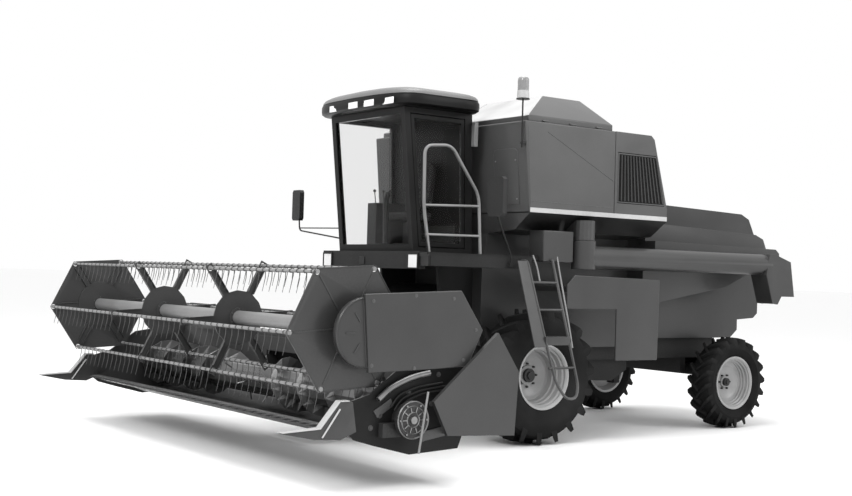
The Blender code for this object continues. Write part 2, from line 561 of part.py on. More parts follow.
# side shields hang on their rear edges and cover the drives ahead of the rear frame
SHIELD = [(0.30, 1.475), (0.30, 1.74), (0.42, 1.852), (1.748, 1.828), (1.735, 0.895), (1.062, 0.895), (1.062, 1.475)]
for side, sign in (("left", 1), ("right", -1)):
    lo, hi = sorted((sign * 1.475, sign * 1.50))
    node(f"side_shield_{side}", plate("x", SHIELD, lo, hi), "panel_paint", (sign * 1.50, 1.755, 1.3))

# ---------------------------------------------------------------- unloading auger
ux, uy = UNLOAD
head = bar((ux, uy, 1.92), (ux, uy, 2.24 - 0.005), 0.135, 16)
barrel = bar((ux, uy + 0.02, UNLOAD_Z), (ux, 3.72, UNLOAD_Z), UNLOAD_R, 16)
spout = plate("x", [(3.60, 1.93), (3.66, 2.19), (3.76, 2.19), (4.07, 2.10), (4.15, 1.66), (3.90, 1.66), (3.83, 1.56), (3.73, 1.57)],
              ux - 0.125, ux + 0.125)
mouth = plate("x", [(3.78, 1.50), (3.78, 1.75), (3.84, 2.02), (4.03, 2.02), (4.11, 1.70), (4.13, 1.50)], ux - 0.10, ux + 0.10)
node("unloading_auger", cut(fuse(head, barrel, spout), mouth), "panel_paint", (ux, uy, UNLOAD_Z))

# ---------------------------------------------------------------- header
py, pz = HEAD_PIVOT
arc = [(py + 0.29 * math.cos(math.radians(a)), pz + 0.29 * math.sin(math.radians(a))) for a in range(80, -81, -20)]
feeder = plate("x", [(-2.19 + GAP, 0.98), (-2.10, 1.02)] + arc + [(-1.05, 0.98), (-2.12, 0.46), (-2.19 + GAP, 0.44)], -0.50, 0.50)
lugs = [plate("x", [(-1.95, 0.64), (-1.84, 0.42), (-1.75, 0.42), (-1.72, 0.72)], s * CYL_X - 0.015, s * CYL_X + 0.015) for s in (1, -1)]
node("feeder_house", fuse(feeder, *lugs), "panel_paint", (0, py, pz))

# trough: cross section of the pan and back sheet, front to rear and back again
TROUGH = [(-3.42, 0.470), (-3.40, 0.490), (-3.05, 0.425), (-2.92, 0.385), (-2.80, 0.360), (-2.66, 0.360), (-2.52, 0.385),
          (-2.41, 0.46), (-2.365, 0.60), (-2.30, 1.08), (-2.20, 1.10), (-2.195, 1.04), (-2.24, 1.02), (-2.30, 0.60),
          (-2.345, 0.40), (-2.45, 0.325), (-2.62, 0.300), (-2.84, 0.300), (-3.05, 0.375), (-3.36, 0.445)]
trough = plate("x", TROUGH, HEAD_X0 + 0.01, HEAD_X1 - 0.01)
END = [(-3.60, 0.585), (-3.45, 0.745), (-3.26, 0.80), (-2.95, 1.02), (-2.30, 1.12), (-2.19, 1.12), (-2.20, 0.60),
       (-2.32, 0.30), (-2.84, 0.275), (-3.19, 0.365), (-3.40, 0.425)]
ends = [plate("x", END, HEAD_X0, HEAD_X0 + 0.02), plate("x", END, HEAD_X1 - 0.02, HEAD_X1)]
DIVIDER = [(-4.10, 0.515), (-3.74, 0.53), (-3.56, 0.745), (-3.44, 0.745), (-3.40, 0.50), (-3.55, 0.44), (-3.80, 0.455)]
dividers = [plate("x", DIVIDER, HEAD_X0 - 0.03, HEAD_X0 + 0.03), plate("x", DIVIDER, HEAD_X1 - 0.03, HEAD_X1 + 0.03)]
beam_top = box(HEAD_X0 + 0.01, HEAD_X1 - 0.01, -2.295, -2.19, 1.03, 1.13)
EAR = [(-2.34, 1.09), (-2.30, 1.29), (-2.20, 1.29), (-2.19, 1.09)]
arm_ears = [plate("x", EAR, HEAD_X0, HEAD_X0 + 0.02), plate("x", EAR, HEAD_X1 - 0.02, HEAD_X1),
            bar((HEAD_X0 + 0.01, *ARM_PIVOT), (HEAD_X0 + 0.0275, *ARM_PIVOT), 0.025, 10),
            bar((HEAD_X1 - 0.01, *ARM_PIVOT), (HEAD_X1 - 0.0275, *ARM_PIVOT), 0.025, 10)]
throat = box(-0.56, 0.56, -2.29, -2.19, 0.42, 1.06)
trough = fuse(trough, *ends, *dividers, beam_top, throat, *arm_ears)
feed_hole = box(-0.47, 0.47, -2.6, -2.0, 0.47, 0.93)
node("header_trough", cut(trough, feed_hole), "panel_paint", (0, py, pz))

# cutter bar: a flat bar with a row of pointed guards
knife = box(HEAD_X0 + 0.035, HEAD_X1 - 0.035, -3.43, -3.36, 0.4905, 0.502)
guards = []
count = 36
for i in range(count):
    gx = HEAD_X0 + 0.10 + (HEAD_X1 - HEAD_X0 - 0.20) * i / (count - 1)
    guards.append(plate("z", [(gx - 0.02, -3.424), (gx - 0.006, -3.53), (gx + 0.006, -3.53), (gx + 0.02, -3.424)], 0.4905, 0.502))
knife.data.transform(Matrix.Identity(4))
bm = bmesh.new()
for g in guards:
    bm.from_mesh(g.data)
    bpy.data.objects.remove(g, do_unlink=True)
node("cutter_bar", fuse(knife, as_object(bm)), "worn_steel", (0, py, pz))

# auger: a drum with two opposed flights that feed the middle, and its end stubs
def flight(x0, x1, hand, turns, r0, r1, thick, per_turn=14):
    bm = bmesh.new()
    n = int(turns * per_turn)
    rings = []
    for i in range(n + 1):
        a = 0.137 + hand * math.tau * i / per_turn
        x = x0 + (x1 - x0 - thick) * i / n
        ring = []
        for r, dx in ((r0, 0.0), (r1, 0.0), (r1, thick), (r0, thick)):
            ring.append(bm.verts.new((x + dx, AUGER[0] + r * math.cos(a), AUGER[1] + r * math.sin(a))))
        rings.append(ring)
    for a, b in zip(rings, rings[1:]):
        for k in range(4):
            bm.faces.new((a[k], a[(k + 1) % 4], b[(k + 1) % 4], b[k]))
    bm.faces.new(rings[0])
    bm.faces.new(rings[-1])
    return as_object(bm)


ax0, ax1 = HEAD_X0 + 0.045, HEAD_X1 - 0.045
inner = AUGER_TUBE - 0.02
drum = bar((ax0, *AUGER), (ax1, *AUGER), AUGER_TUBE, 14)
stubs = [bar((HEAD_X0 + 0.0205, *AUGER), (ax0 + 0.01, *AUGER), 0.035, 10), bar((ax1 - 0.01, *AUGER), (HEAD_X1 - 0.0205, *AUGER), 0.035, 10)]
fingers = []
for k in range(8):
    fa = 0.21 + k * math.tau * 3 / 8
    fx = -0.42 + 0.12 * k
    c, s = math.cos(fa), math.sin(fa)
    fingers.append(bar((fx, AUGER[0] + 0.10 * c, AUGER[1] + 0.10 * s), (fx, AUGER[0] + 0.255 * c, AUGER[1] + 0.255 * s), 0.009, 6))
drum = fuse(drum, *stubs, *fingers)
node("header_auger", fuse(drum, flight(ax0 + 0.02, -0.55, -1, 4, inner, AUGER_FLIGHT, 0.008),
                          flight(0.55, ax1 - 0.02, 1, 4.75, inner, AUGER_FLIGHT, 0.008)), "worn_steel", (0, *AUGER))

# drives outside the left end sheet
end_shield = plate("x", [(-2.05, 1.317), (-2.735, 0.738), (-2.58, 0.444), (-1.84, 0.41), (-1.806, 0.97)], 3.16, 3.20)
shield_foot = [box(HEAD_X1 + GAP, 3.17, -2.36, -2.26, 0.66, 0.72), box(HEAD_X1 + GAP, 3.17, -2.50, -2.40, 0.44, 0.50)]
node("header_end_shield", fuse(end_shield, *shield_foot), "panel_paint", (0, py, pz))
gearbox = fuse(disc(HEAD_X1 + GAP, 3.12, -2.90, 0.585, 0.13, 16), disc(3.10, 3.14, -2.90, 0.585, 0.165, 20),
               box(HEAD_X1 + GAP, 3.07, -3.16, -2.90, 0.44, 0.56))
node("knife_drive", gearbox, "cast_iron", (0, py, pz))

# ---------------------------------------------------------------- reel
ry, rz = REEL
AX = ((HEAD_X0 + 0.028, HEAD_X0 + 0.068), (HEAD_X1 - 0.063, HEAD_X1 - 0.028))
piv_y, piv_z = ARM_PIVOT
def along(t, off):
    d = Vector((ry - piv_y, rz - piv_z))
    n = Vector((d.y, -d.x)).normalized()
    p = Vector((piv_y, piv_z)) + d * t + n * off
    return (p.x, p.y)


arm_line = [along(-0.07, -0.04), along(-0.07, 0.04), along(0.5, 0.055), along(1.05, 0.04), along(1.05, -0.04), along(0.5, -0.055)]
arm_pieces = []
for (x0, x1), hub in zip(AX, ((REEL_X0 - 0.012, 1), (REEL_X1 + 0.012, -1))):
    arm_pieces.append(plate("x", arm_line, x0, x1))
cross = [bar((AX[0][0] + 0.01, *along(0.0, 0.11)), (AX[1][1] - 0.01, *along(0.0, 0.11)), 0.030, 10)]
ears = [plate("x", [along(-0.06, 0.0), along(-0.05, 0.13), along(0.05, 0.13), along(0.07, 0.0)], x0, x1) for x0, x1 in AX]
# drive cover outside the left arm, clear of the end sheet
cover_line = [(-3.41, 1.636), (-2.416, 1.68), (-2.171, 1.338), (-2.326, 1.026), (-2.60, 1.01), (-3.354, 0.988)]
link = disc(AX[1][0] + 0.005, 3.05, ry, rz, 0.06, 12)
node("reel_arms", fuse(arm_pieces[0], arm_pieces[1], *cross, *ears, link), "frame_paint", (0, *ARM_PIVOT))
cover = fuse(plate("x", cover_line, 3.085, 3.13), disc(3.05 + GAP, 3.10, ry + 0.07, rz - 0.03, 0.295, 24))
node("reel_drive_shield", cover, "panel_paint", (0, *ARM_PIVOT))

phase = math.radians(REEL_PHASE)
corners = [(ry + REEL_R * math.cos(phase + k * math.pi / 3), rz + REEL_R * math.sin(phase + k * math.pi / 3)) for k in range(6)]
EYE = 0.030
BAT = 0.020
spiders = []
core = bar((AX[0][1] + 0.0005, ry, rz), (AX[1][0] - 0.0005, ry, rz), 0.062, 12)
pieces = []
for i, sx in enumerate((REEL_X0, -0.70, 0.97, REEL_X1 - 0.012)):
    x0, x1 = sx, sx + 0.012
    if i in (0, 3):
        def out(k, r):
            a = phase + k * math.pi / 3
            return (ry + r * math.cos(a), rz + r * math.sin(a))
        pieces.append(plate("x", [out(k, REEL_R + 0.035) for k in range(6)], x0, x1))
    else:
        outline = []
        half, reach, hub = 0.035, REEL_R + 0.04, 0.26
        notch = math.asin(half / hub)
        for k in range(6):
            turn = phase + k * math.pi / 3
            for along_arm, across in ((reach, -half), (reach, half)):
                outline.append((ry + along_arm * math.cos(turn) - across * math.sin(turn),
                                rz + along_arm * math.sin(turn) + across * math.cos(turn)))
            for t in (0.0, 0.5, 1.0):
                b = turn + notch + t * (math.pi / 3 - 2 * notch)
                outline.append((ry + hub * math.cos(b), rz + hub * math.sin(b)))
        pieces.append(plate("x", outline, x0, x1))
core = fuse(core, *pieces)
holes = [disc(REEL_X0 - 0.1, REEL_X1 + 0.1, y, z, 0.0275, 12) for y, z in corners]
node("reel_core", cut(core, *holes), "frame_paint", (0, ry, rz))

# bats: a round bar with hanging tines, kept upright by the reel's eccentric
tines = 26
for k, (by, bz) in enumerate(corners):
    rod = bar((REEL_X0 - 0.006, by, bz), (REEL_X1 + 0.006, by, bz), BAT, 8)
    bm = bmesh.new()
    spacing = (REEL_X1 - REEL_X0 - 0.20) / (tines - 1)
    for i in range(tines):
        tx = REEL_X0 + 0.10 + spacing * i
        place = Matrix.Translation((tx, by - 0.0, bz - TINE / 2)) @ Matrix.Diagonal((0.007, 0.007, TINE, 1.0))
        bmesh.ops.create_cube(bm, size=1.0, matrix=place)
    node(f"reel_bat_{k + 1}", fuse(rod, as_object(bm)), "worn_steel", (0, by, bz))

# ---------------------------------------------------------------- header lift cylinders
(cy0, cz0), (cy1, cz1) = CYL_BASE, CYL_EYE
direction = Vector((0, cy1 - cy0, cz1 - cz0)).normalized()
barrels, rods, feet = [], [], []
for s in (1, -1):
    a = Vector((s * CYL_X, cy0, cz0))
    b = Vector((s * CYL_X, cy1, cz1))
    barrels.append(fuse(bar(a - direction * 0.0, a + direction * 0.86, 0.050, 12), disc(s * CYL_X - 0.03, s * CYL_X + 0.03, cy0, cz0, 0.055, 12)))
    bore = bar(a + direction * 0.10, a + direction * 0.90, 0.0285, 12)
    barrels[-1] = cut(barrels[-1], bore)
    yoke = [box(s * CYL_X - 0.045, s * CYL_X + 0.045, -0.03, 0.03, -0.03, 0.03)]
    end = b - direction * 0.11
    yoke[0].data.transform(Matrix.Translation((0, end.y, end.z)))
    cheeks = [box(s * CYL_X + o - 0.009, s * CYL_X + o + 0.009, cy1 - 0.045, cy1 + 0.13, cz1 - 0.035, cz1 + 0.045) for o in (0.036, -0.036)]
    rods.append(fuse(bar(a + direction * 0.62, end, 0.025, 12), *yoke, *cheeks))
shaft = bar((-CYL_X, cy0, cz0), (CYL_X, cy0, cz0), 0.030, 10)
tie_bar = bar((-CYL_X, end.y, end.z), (CYL_X, end.y, end.z), 0.018, 8)
node("lift_cylinder_barrels", fuse(barrels[0], barrels[1], shaft), "frame_paint", (0, cy0, cz0))
node("lift_cylinder_rods", fuse(rods[0], rods[1], tie_bar), "rod_chrome", (0, cy1, cz1))

for ob in list(CUTTERS.objects):
    bpy.data.objects.remove(ob, do_unlink=True)
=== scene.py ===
import bpy, bmesh, json, math
from mathutils import Matrix, Vector


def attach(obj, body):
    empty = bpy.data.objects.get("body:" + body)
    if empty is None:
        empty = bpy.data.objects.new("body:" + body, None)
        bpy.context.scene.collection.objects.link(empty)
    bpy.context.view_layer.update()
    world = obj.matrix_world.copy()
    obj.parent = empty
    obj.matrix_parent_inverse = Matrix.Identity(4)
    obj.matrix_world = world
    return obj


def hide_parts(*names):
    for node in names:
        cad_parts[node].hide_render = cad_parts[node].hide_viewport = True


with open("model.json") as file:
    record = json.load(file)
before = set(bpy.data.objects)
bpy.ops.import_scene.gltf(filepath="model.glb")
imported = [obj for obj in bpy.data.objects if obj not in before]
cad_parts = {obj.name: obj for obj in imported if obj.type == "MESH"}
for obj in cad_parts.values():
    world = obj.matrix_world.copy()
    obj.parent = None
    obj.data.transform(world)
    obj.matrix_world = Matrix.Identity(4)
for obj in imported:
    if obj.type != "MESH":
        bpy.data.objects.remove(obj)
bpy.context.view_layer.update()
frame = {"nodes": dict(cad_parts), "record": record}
NODES = frame["nodes"]
SX, SY = -0.275, -0.1575            # design frame -> row frame


def D(x, y, z):
    return Vector((x + SX, y + SY, z))


# ------------------------------------------------------------------ materials
# under: how far the painted shade darkens faces that look down (1 = no painted shade)
def paint(name, rgb, rough=0.42, metal=0.0, coat=0.0, dust=0.25, wear=0.35, scale=1.0, bump=0.05, spec=0.5, under=0.45):
    m = bpy.data.materials.new(name)
    m.use_nodes = True
    nt = m.node_tree
    n, l = nt.nodes, nt.links
    b = n["Principled BSDF"]
    b.inputs["Metallic"].default_value = metal
    b.inputs["Coat Weight"].default_value = coat
    b.inputs["Coat Roughness"].default_value = 0.12
    b.inputs["Specular IOR Level"].default_value = spec
    tc = n.new("ShaderNodeTexCoord")
    big = n.new("ShaderNodeTexNoise"); big.inputs["Scale"].default_value = 1.7 * scale; big.inputs["Detail"].default_value = 6
    fine = n.new("ShaderNodeTexNoise"); fine.inputs["Scale"].default_value = 60 * scale; fine.inputs["Detail"].default_value = 4
    speck = n.new("ShaderNodeTexVoronoi"); speck.inputs["Scale"].default_value = 22 * scale
    for t in (big, fine, speck):
        l.new(tc.outputs["Object"], t.inputs["Vector"])
    ramp = n.new("ShaderNodeValToRGB")
    ramp.color_ramp.elements[0].position = 0.34
    ramp.color_ramp.elements[1].position = 0.72
    ramp.color_ramp.elements[0].color = (*[c * (1 - 0.30 * dust) for c in rgb], 1)
    ramp.color_ramp.elements[1].color = (*[min(1, c * (1 + 0.35 * dust) + 0.010 * dust) for c in rgb], 1)
    l.new(big.outputs["Fac"], ramp.inputs["Fac"])
    # small chips and stone marks
    chip = n.new("ShaderNodeMapRange")
    chip.inputs["From Min"].default_value = 0.05; chip.inputs["From Max"].default_value = 0.0
    chip.inputs["To Max"].default_value = 0.5 * wear
    l.new(speck.outputs["Distance"], chip.inputs["Value"])
    geo = n.new("ShaderNodeNewGeometry")
    edge = n.new("ShaderNodeMapRange")
    edge.inputs["From Min"].default_value = 0.53; edge.inputs["From Max"].default_value = 0.60
    edge.inputs["To Max"].default_value = wear
    l.new(geo.outputs["Pointiness"], edge.inputs["Value"])
    mul = n.new("ShaderNodeMath"); mul.operation = "MULTIPLY_ADD"
    l.new(edge.outputs["Result"], mul.inputs[0]); l.new(fine.outputs["Fac"], mul.inputs[1]); l.new(chip.outputs["Result"], mul.inputs[2])
    mix = n.new("ShaderNodeMix"); mix.data_type = "RGBA"
    l.new(mul.outputs[0], mix.inputs["Factor"])
    l.new(ramp.outputs["Color"], mix.inputs["A"])
    mix.inputs["B"].default_value = (*[min(1, c * 1.7 + 0.05) for c in rgb], 1)
    # painted shade: the colour of faces that look down is multiplied towards the factor under, as if they lay in shadow
    sep = n.new("ShaderNodeSeparateXYZ"); l.new(geo.outputs["Normal"], sep.inputs["Vector"])
    low = n.new("ShaderNodeMapRange")
    low.inputs["From Min"].default_value = 0.05; low.inputs["From Max"].default_value = -0.75
    low.inputs["To Min"].default_value = 1.0; low.inputs["To Max"].default_value = under
    l.new(sep.outputs["Z"], low.inputs["Value"])
    painted_shade = n.new("ShaderNodeMix"); painted_shade.data_type = "RGBA"; painted_shade.blend_type = "MULTIPLY"; painted_shade.inputs["Factor"].default_value = 1.0
    l.new(mix.outputs["Result"], painted_shade.inputs["A"]); l.new(low.outputs["Result"], painted_shade.inputs["B"])
    l.new(painted_shade.outputs["Result"], b.inputs["Base Color"])
    rr = n.new("ShaderNodeMapRange")
    rr.inputs["To Min"].default_value = max(0.02, rough - 0.10); rr.inputs["To Max"].default_value = min(1, rough + 0.14)
    l.new(big.outputs["Fac"], rr.inputs["Value"]); l.new(rr.outputs["Result"], b.inputs["Roughness"])
    bp = n.new("ShaderNodeBump"); bp.inputs["Strength"].default_value = bump; bp.inputs["Distance"].default_value = 0.004
    l.new(fine.outputs["Fac"], bp.inputs["Height"]); l.new(bp.outputs["Normal"], b.inputs["Normal"])
    return m


def glass(name):
    m = bpy.data.materials.new(name)
    m.use_nodes = True
    nt = m.node_tree
    b = nt.nodes["Principled BSDF"]
    b.inputs["Base Color"].default_value = (0.90, 0.90, 0.90, 1)
    b.inputs["Transmission Weight"].default_value = 1.0
    b.inputs["IOR"].default_value = 1.12
    tc = nt.nodes.new("ShaderNodeTexCoord")
    no = nt.nodes.new("ShaderNodeTexNoise"); no.inputs["Scale"].default_value = 6
    mr = nt.nodes.new("ShaderNodeMapRange"); mr.inputs["To Min"].default_value = 0.01; mr.inputs["To Max"].default_value = 0.06
    nt.links.new(tc.outputs["Object"], no.inputs["Vector"])
    nt.links.new(no.outputs["Fac"], mr.inputs["Value"]); nt.links.new(mr.outputs["Result"], b.inputs["Roughness"])
    return m


# the under factors below set how much painted shade falls on each material's downward faces
M = {
    "panel_paint": paint("panel_paint", (0.034, 0.034, 0.034), 0.34, coat=0.15, spec=0.35, under=0.25),
    "tank_paint": paint("tank_paint", (0.066, 0.066, 0.066), 0.34, coat=0.15, spec=0.35, under=0.12),
    "frame_paint": paint("frame_paint", (0.010, 0.010, 0.010), 0.5, dust=0.8, spec=0.15),
    "cab_black": paint("cab_black", (0.0045, 0.0045, 0.0045), 0.38, spec=0.16, dust=0.5, wear=0.15),
    "roof_grey": paint("roof_grey", (0.13, 0.13, 0.13), 0.42, coat=0.1, dust=0.4),
    "rim_paint": paint("rim_paint", (0.30, 0.30, 0.30), 0.36, coat=0.15, dust=0.7, under=0.8),
    "tyre_rubber": paint("tyre_rubber", (0.0075, 0.0075, 0.0075), 0.85, dust=1.0, wear=0.12, bump=0.25, spec=0.12),
    "worn_steel": paint("worn_steel", (0.22, 0.22, 0.22), 0.38, metal=0.7, dust=0.9, wear=0.6),
    "cast_iron": paint("cast_iron", (0.030, 0.030, 0.030), 0.52, metal=0.3, dust=0.9, bump=0.25, spec=0.25),
    "rod_chrome": paint("rod_chrome", (0.62, 0.62, 0.62), 0.15, metal=1.0, dust=0.2, bump=0.01),
    "clear_glass": glass("clear_glass"),
    "seat_fabric": paint("seat_fabric", (0.030, 0.030, 0.030), 0.92, dust=0.5, scale=3, bump=0.5, spec=0.15),
    "black_plastic": paint("black_plastic", (0.010, 0.010, 0.010), 0.45, dust=0.5, spec=0.25),
    "beacon_lens": paint("beacon_lens", (0.21, 0.21, 0.21), 0.14, coat=0.4, dust=0.2),
    "stripe_white": paint("stripe_white", (0.40, 0.40, 0.40), 0.35, coat=0.2, dust=0.4),
    "lamp_lens": paint("lamp_lens", (0.85, 0.85, 0.85), 0.12, coat=0.8, dust=0.05, under=0.9),
    "grille_black": paint("grille_black", (0.003, 0.003, 0.003), 0.6, dust=0.3, spec=0.05),
    "slat_grey": paint("slat_grey", (0.022, 0.022, 0.022), 0.4, dust=0.4, spec=0.3),
    "dark_steel": paint("dark_steel", (0.055, 0.055, 0.055), 0.45, metal=0.3, dust=0.9, wear=0.6),
    "pale_board": paint("pale_board", (0.42, 0.42, 0.42), 0.4, dust=0.6, under=0.35),
    "rail_grey": paint("rail_grey", (0.20, 0.20, 0.20), 0.35, dust=0.5, metal=0.2),
    "auger_steel": paint("auger_steel", (0.20, 0.20, 0.20), 0.28, metal=0.8, dust=0.8, wear=0.5),
}
for sp in frame["record"]["subparts"]:
    ob = NODES.get(sp["node"])
    if ob is not None:
        ob.data.materials.clear()
        ob.data.materials.append(M[sp["material_slot"]])
for node, mat in (("reel_core", "panel_paint"), ("tank_cover_left", "tank_paint"), ("tank_cover_right", "tank_paint"),
                  ("cutter_bar", "dark_steel"), ("header_auger", "auger_steel"), ("ladder", "dark_steel")):
    NODES[node].data.materials.clear()
    NODES[node].data.materials.append(M[mat])


# ------------------------------------------------------------------ mesh helpers
def finish(bm, name, mat, body, smooth=35, bevel=0.0):
    bmesh.ops.recalc_face_normals(bm, faces=bm.faces[:])
    me = bpy.data.meshes.new(name)
    bm.to_mesh(me); bm.free()
    ob = bpy.data.objects.new(name, me)
    bpy.context.scene.collection.objects.link(ob)
    me.materials.append(M[mat])
    if bevel:
        bv = ob.modifiers.new("edge", "BEVEL"); bv.width = bevel; bv.segments = 2; bv.limit_method = "ANGLE"
    me.shade_smooth(); me.set_sharp_from_angle(angle=math.radians(smooth))
    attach(ob, body)
    return ob


def add_box(bm, lo, hi, rot=None):
    lo, hi = Vector(lo), Vector(hi)
    mt = Matrix.Translation((lo + hi) / 2)
    if rot is not None:
        mt = mt @ rot
    bmesh.ops.create_cube(bm, size=1.0, matrix=mt @ Matrix.Diagonal((*(hi - lo), 1.0)))


def add_cyl(bm, a, b, r, seg=12, r2=None):
    a, b = Vector(a), Vector(b)
    q = Vector((0, 0, 1)).rotation_difference(b - a).to_matrix().to_4x4()
    bmesh.ops.create_cone(bm, cap_ends=True, segments=seg, radius1=r, radius2=r if r2 is None else r2,
                          depth=(b - a).length, matrix=Matrix.Translation((a + b) / 2) @ q)


def revolve(bm, prof, seg, place, closed):
    rings = []
    for k in range(seg):
        a = math.tau * k / seg
        rings.append([bm.verts.new(place @ Vector((h, r * math.cos(a), r * math.sin(a)))) for r, h in prof])
    m = len(prof)
    for k in range(seg):
        A, B = rings[k], rings[(k + 1) % seg]
        for i in range(m if closed else m - 1):
            j = (i + 1) % m
            bm.faces.new((A[i], A[j], B[j], B[i]))
    return rings


def slab(bm, place, lo, hi):
    lo, hi = Vector(lo), Vector(hi)
    bmesh.ops.create_cube(bm, size=1.0, matrix=place @ Matrix.Translation((lo + hi) / 2) @ Matrix.Diagonal((*(hi - lo), 1.0)))


def prism(bm, pts, x0, x1):
    """An outline in y and z, run from x0 to x1."""
    a = [bm.verts.new(D(x0, y, z)) for y, z in pts]
    b = [bm.verts.new(D(x1, y, z)) for y, z in pts]
    bm.faces.new(a); bm.faces.new(b)
    for i in range(len(pts)):
        j = (i + 1) % len(pts)
        bm.faces.new((a[i], a[j], b[j], b[i]))


def tube(name, pts, r, mat, body, cyclic=False):
    """A bent pipe through the given points, a round section swept along the straight runs between them."""
    cu = bpy.data.curves.new(name, "CURVE"); cu.dimensions = "3D"
    sp = cu.splines.new("POLY"); sp.points.add(len(pts) - 1)
    for q, v in zip(sp.points, pts):
        q.co = (*D(*v), 1.0)
    sp.use_cyclic_u = cyclic
    cu.bevel_depth, cu.bevel_resolution, cu.use_fill_caps = r, 4, True
    tmp = bpy.data.objects.new(name + "_curve", cu)
    bpy.context.scene.collection.objects.link(tmp)
    me = bpy.data.meshes.new_from_object(tmp.evaluated_get(bpy.context.evaluated_depsgraph_get()))
    bpy.data.objects.remove(tmp, do_unlink=True)
    bm = bmesh.new(); bm.from_mesh(me); bmesh.ops.remove_doubles(bm, verts=bm.verts[:], dist=0.00002)
    bpy.data.meshes.remove(me)
    return finish(bm, name, mat, body, 50)


def bend(pts, r, n=5):
    """The same route with each corner cut back by r and rounded."""
    pts = [Vector(p) for p in pts]
    out = [pts[0]]
    for a, b, c in zip(pts, pts[1:], pts[2:]):
        u, v = (a - b), (c - b)
        k = min(r, u.length * 0.45, v.length * 0.45)
        p0, p1 = b + u.normalized() * k, b + v.normalized() * k
        for i in range(n + 1):
            t = i / n
            out.append(p0 * (1 - t) ** 2 + b * 2 * t * (1 - t) + p1 * t * t)
    return out + [pts[-1]]


def ring(bm, place, r, half, tube_r, seg=48):
    revolve(bm, [(r - tube_r, half), (r, half + tube_r), (r + tube_r, half), (r, half - tube_r)], seg, place, True)


# ------------------------------------------------------------------ sheet-metal panels with rolled edges
def softened(node, body, width, mat=None, segments=3):
    me = NODES[node].data.copy()
    me.name = node + "_skin"
    ob = bpy.data.objects.new(node + "_skin", me)
    bpy.context.scene.collection.objects.link(ob)
    slot = next(sp["material_slot"] for sp in frame["record"]["subparts"] if sp["node"] == node)
    me.materials.clear(); me.materials.append(M[mat or slot])
    bm = bmesh.new(); bm.from_mesh(me)
    bmesh.ops.remove_doubles(bm, verts=bm.verts[:], dist=0.0002)
    bmesh.ops.dissolve_limit(bm, angle_limit=math.radians(1.0), verts=bm.verts[:], edges=bm.edges[:])
    bm.to_mesh(me); bm.free()
    bv = ob.modifiers.new("rolled", "BEVEL")
    bv.width, bv.segments, bv.limit_method, bv.angle_limit = width, segments, "ANGLE", math.radians(28)
    bv.use_clamp_overlap = True
    bv.harden_normals = False
    me.shade_smooth(); me.set_sharp_from_angle(angle=math.radians(50))
    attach(ob, body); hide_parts(node)
    return ob


for node, body, width, mat in (
        ("grain_tank", "chassis", 0.022, None), ("engine_hood", "chassis", 0.022, None),
        ("engine_door", "engine_door", 0.006, None), ("tank_cover_left", "tank_cover_left", 0.010, "tank_paint"),
        ("tank_cover_right", "tank_cover_right", 0.010, "tank_paint"), ("service_box", "chassis", 0.012, None),
        ("side_shield_left", "side_shield_left", 0.010, None), ("side_shield_right", "side_shield_right", 0.010, None),
        ("header_end_shield", "header", 0.010, None), ("reel_drive_shield", "reel_arms", 0.010, None),
        ("cab_door", "cab_door", 0.008, None), ("straw_hood", "chassis", 0.020, None),
        ("unloading_auger", "unloading_auger", 0.010, None), ("feeder_house", "header", 0.012, "frame_paint")):
    skin = softened(node, body, width, mat)
    if node.startswith("tank_cover"):
        # painted reflection: the front slope, which faces up and forward, gets the pale material as a painted sky
        # highlight
        skin.data.materials.append(M["pale_board"])
        for f in skin.data.polygons:
            if f.normal.y < -0.3 and f.normal.z > 0.3:
                f.material_index = 1
trough = softened("header_trough", "header", 0.004, None, 2)
trough.data.materials.append(M["frame_paint"])
for f in trough.data.polygons:
    if abs(f.normal.x) > 0.9 and f.center.x > 2.99 + SX and f.center.y > -3.60 + SY:
        f.material_index = 1

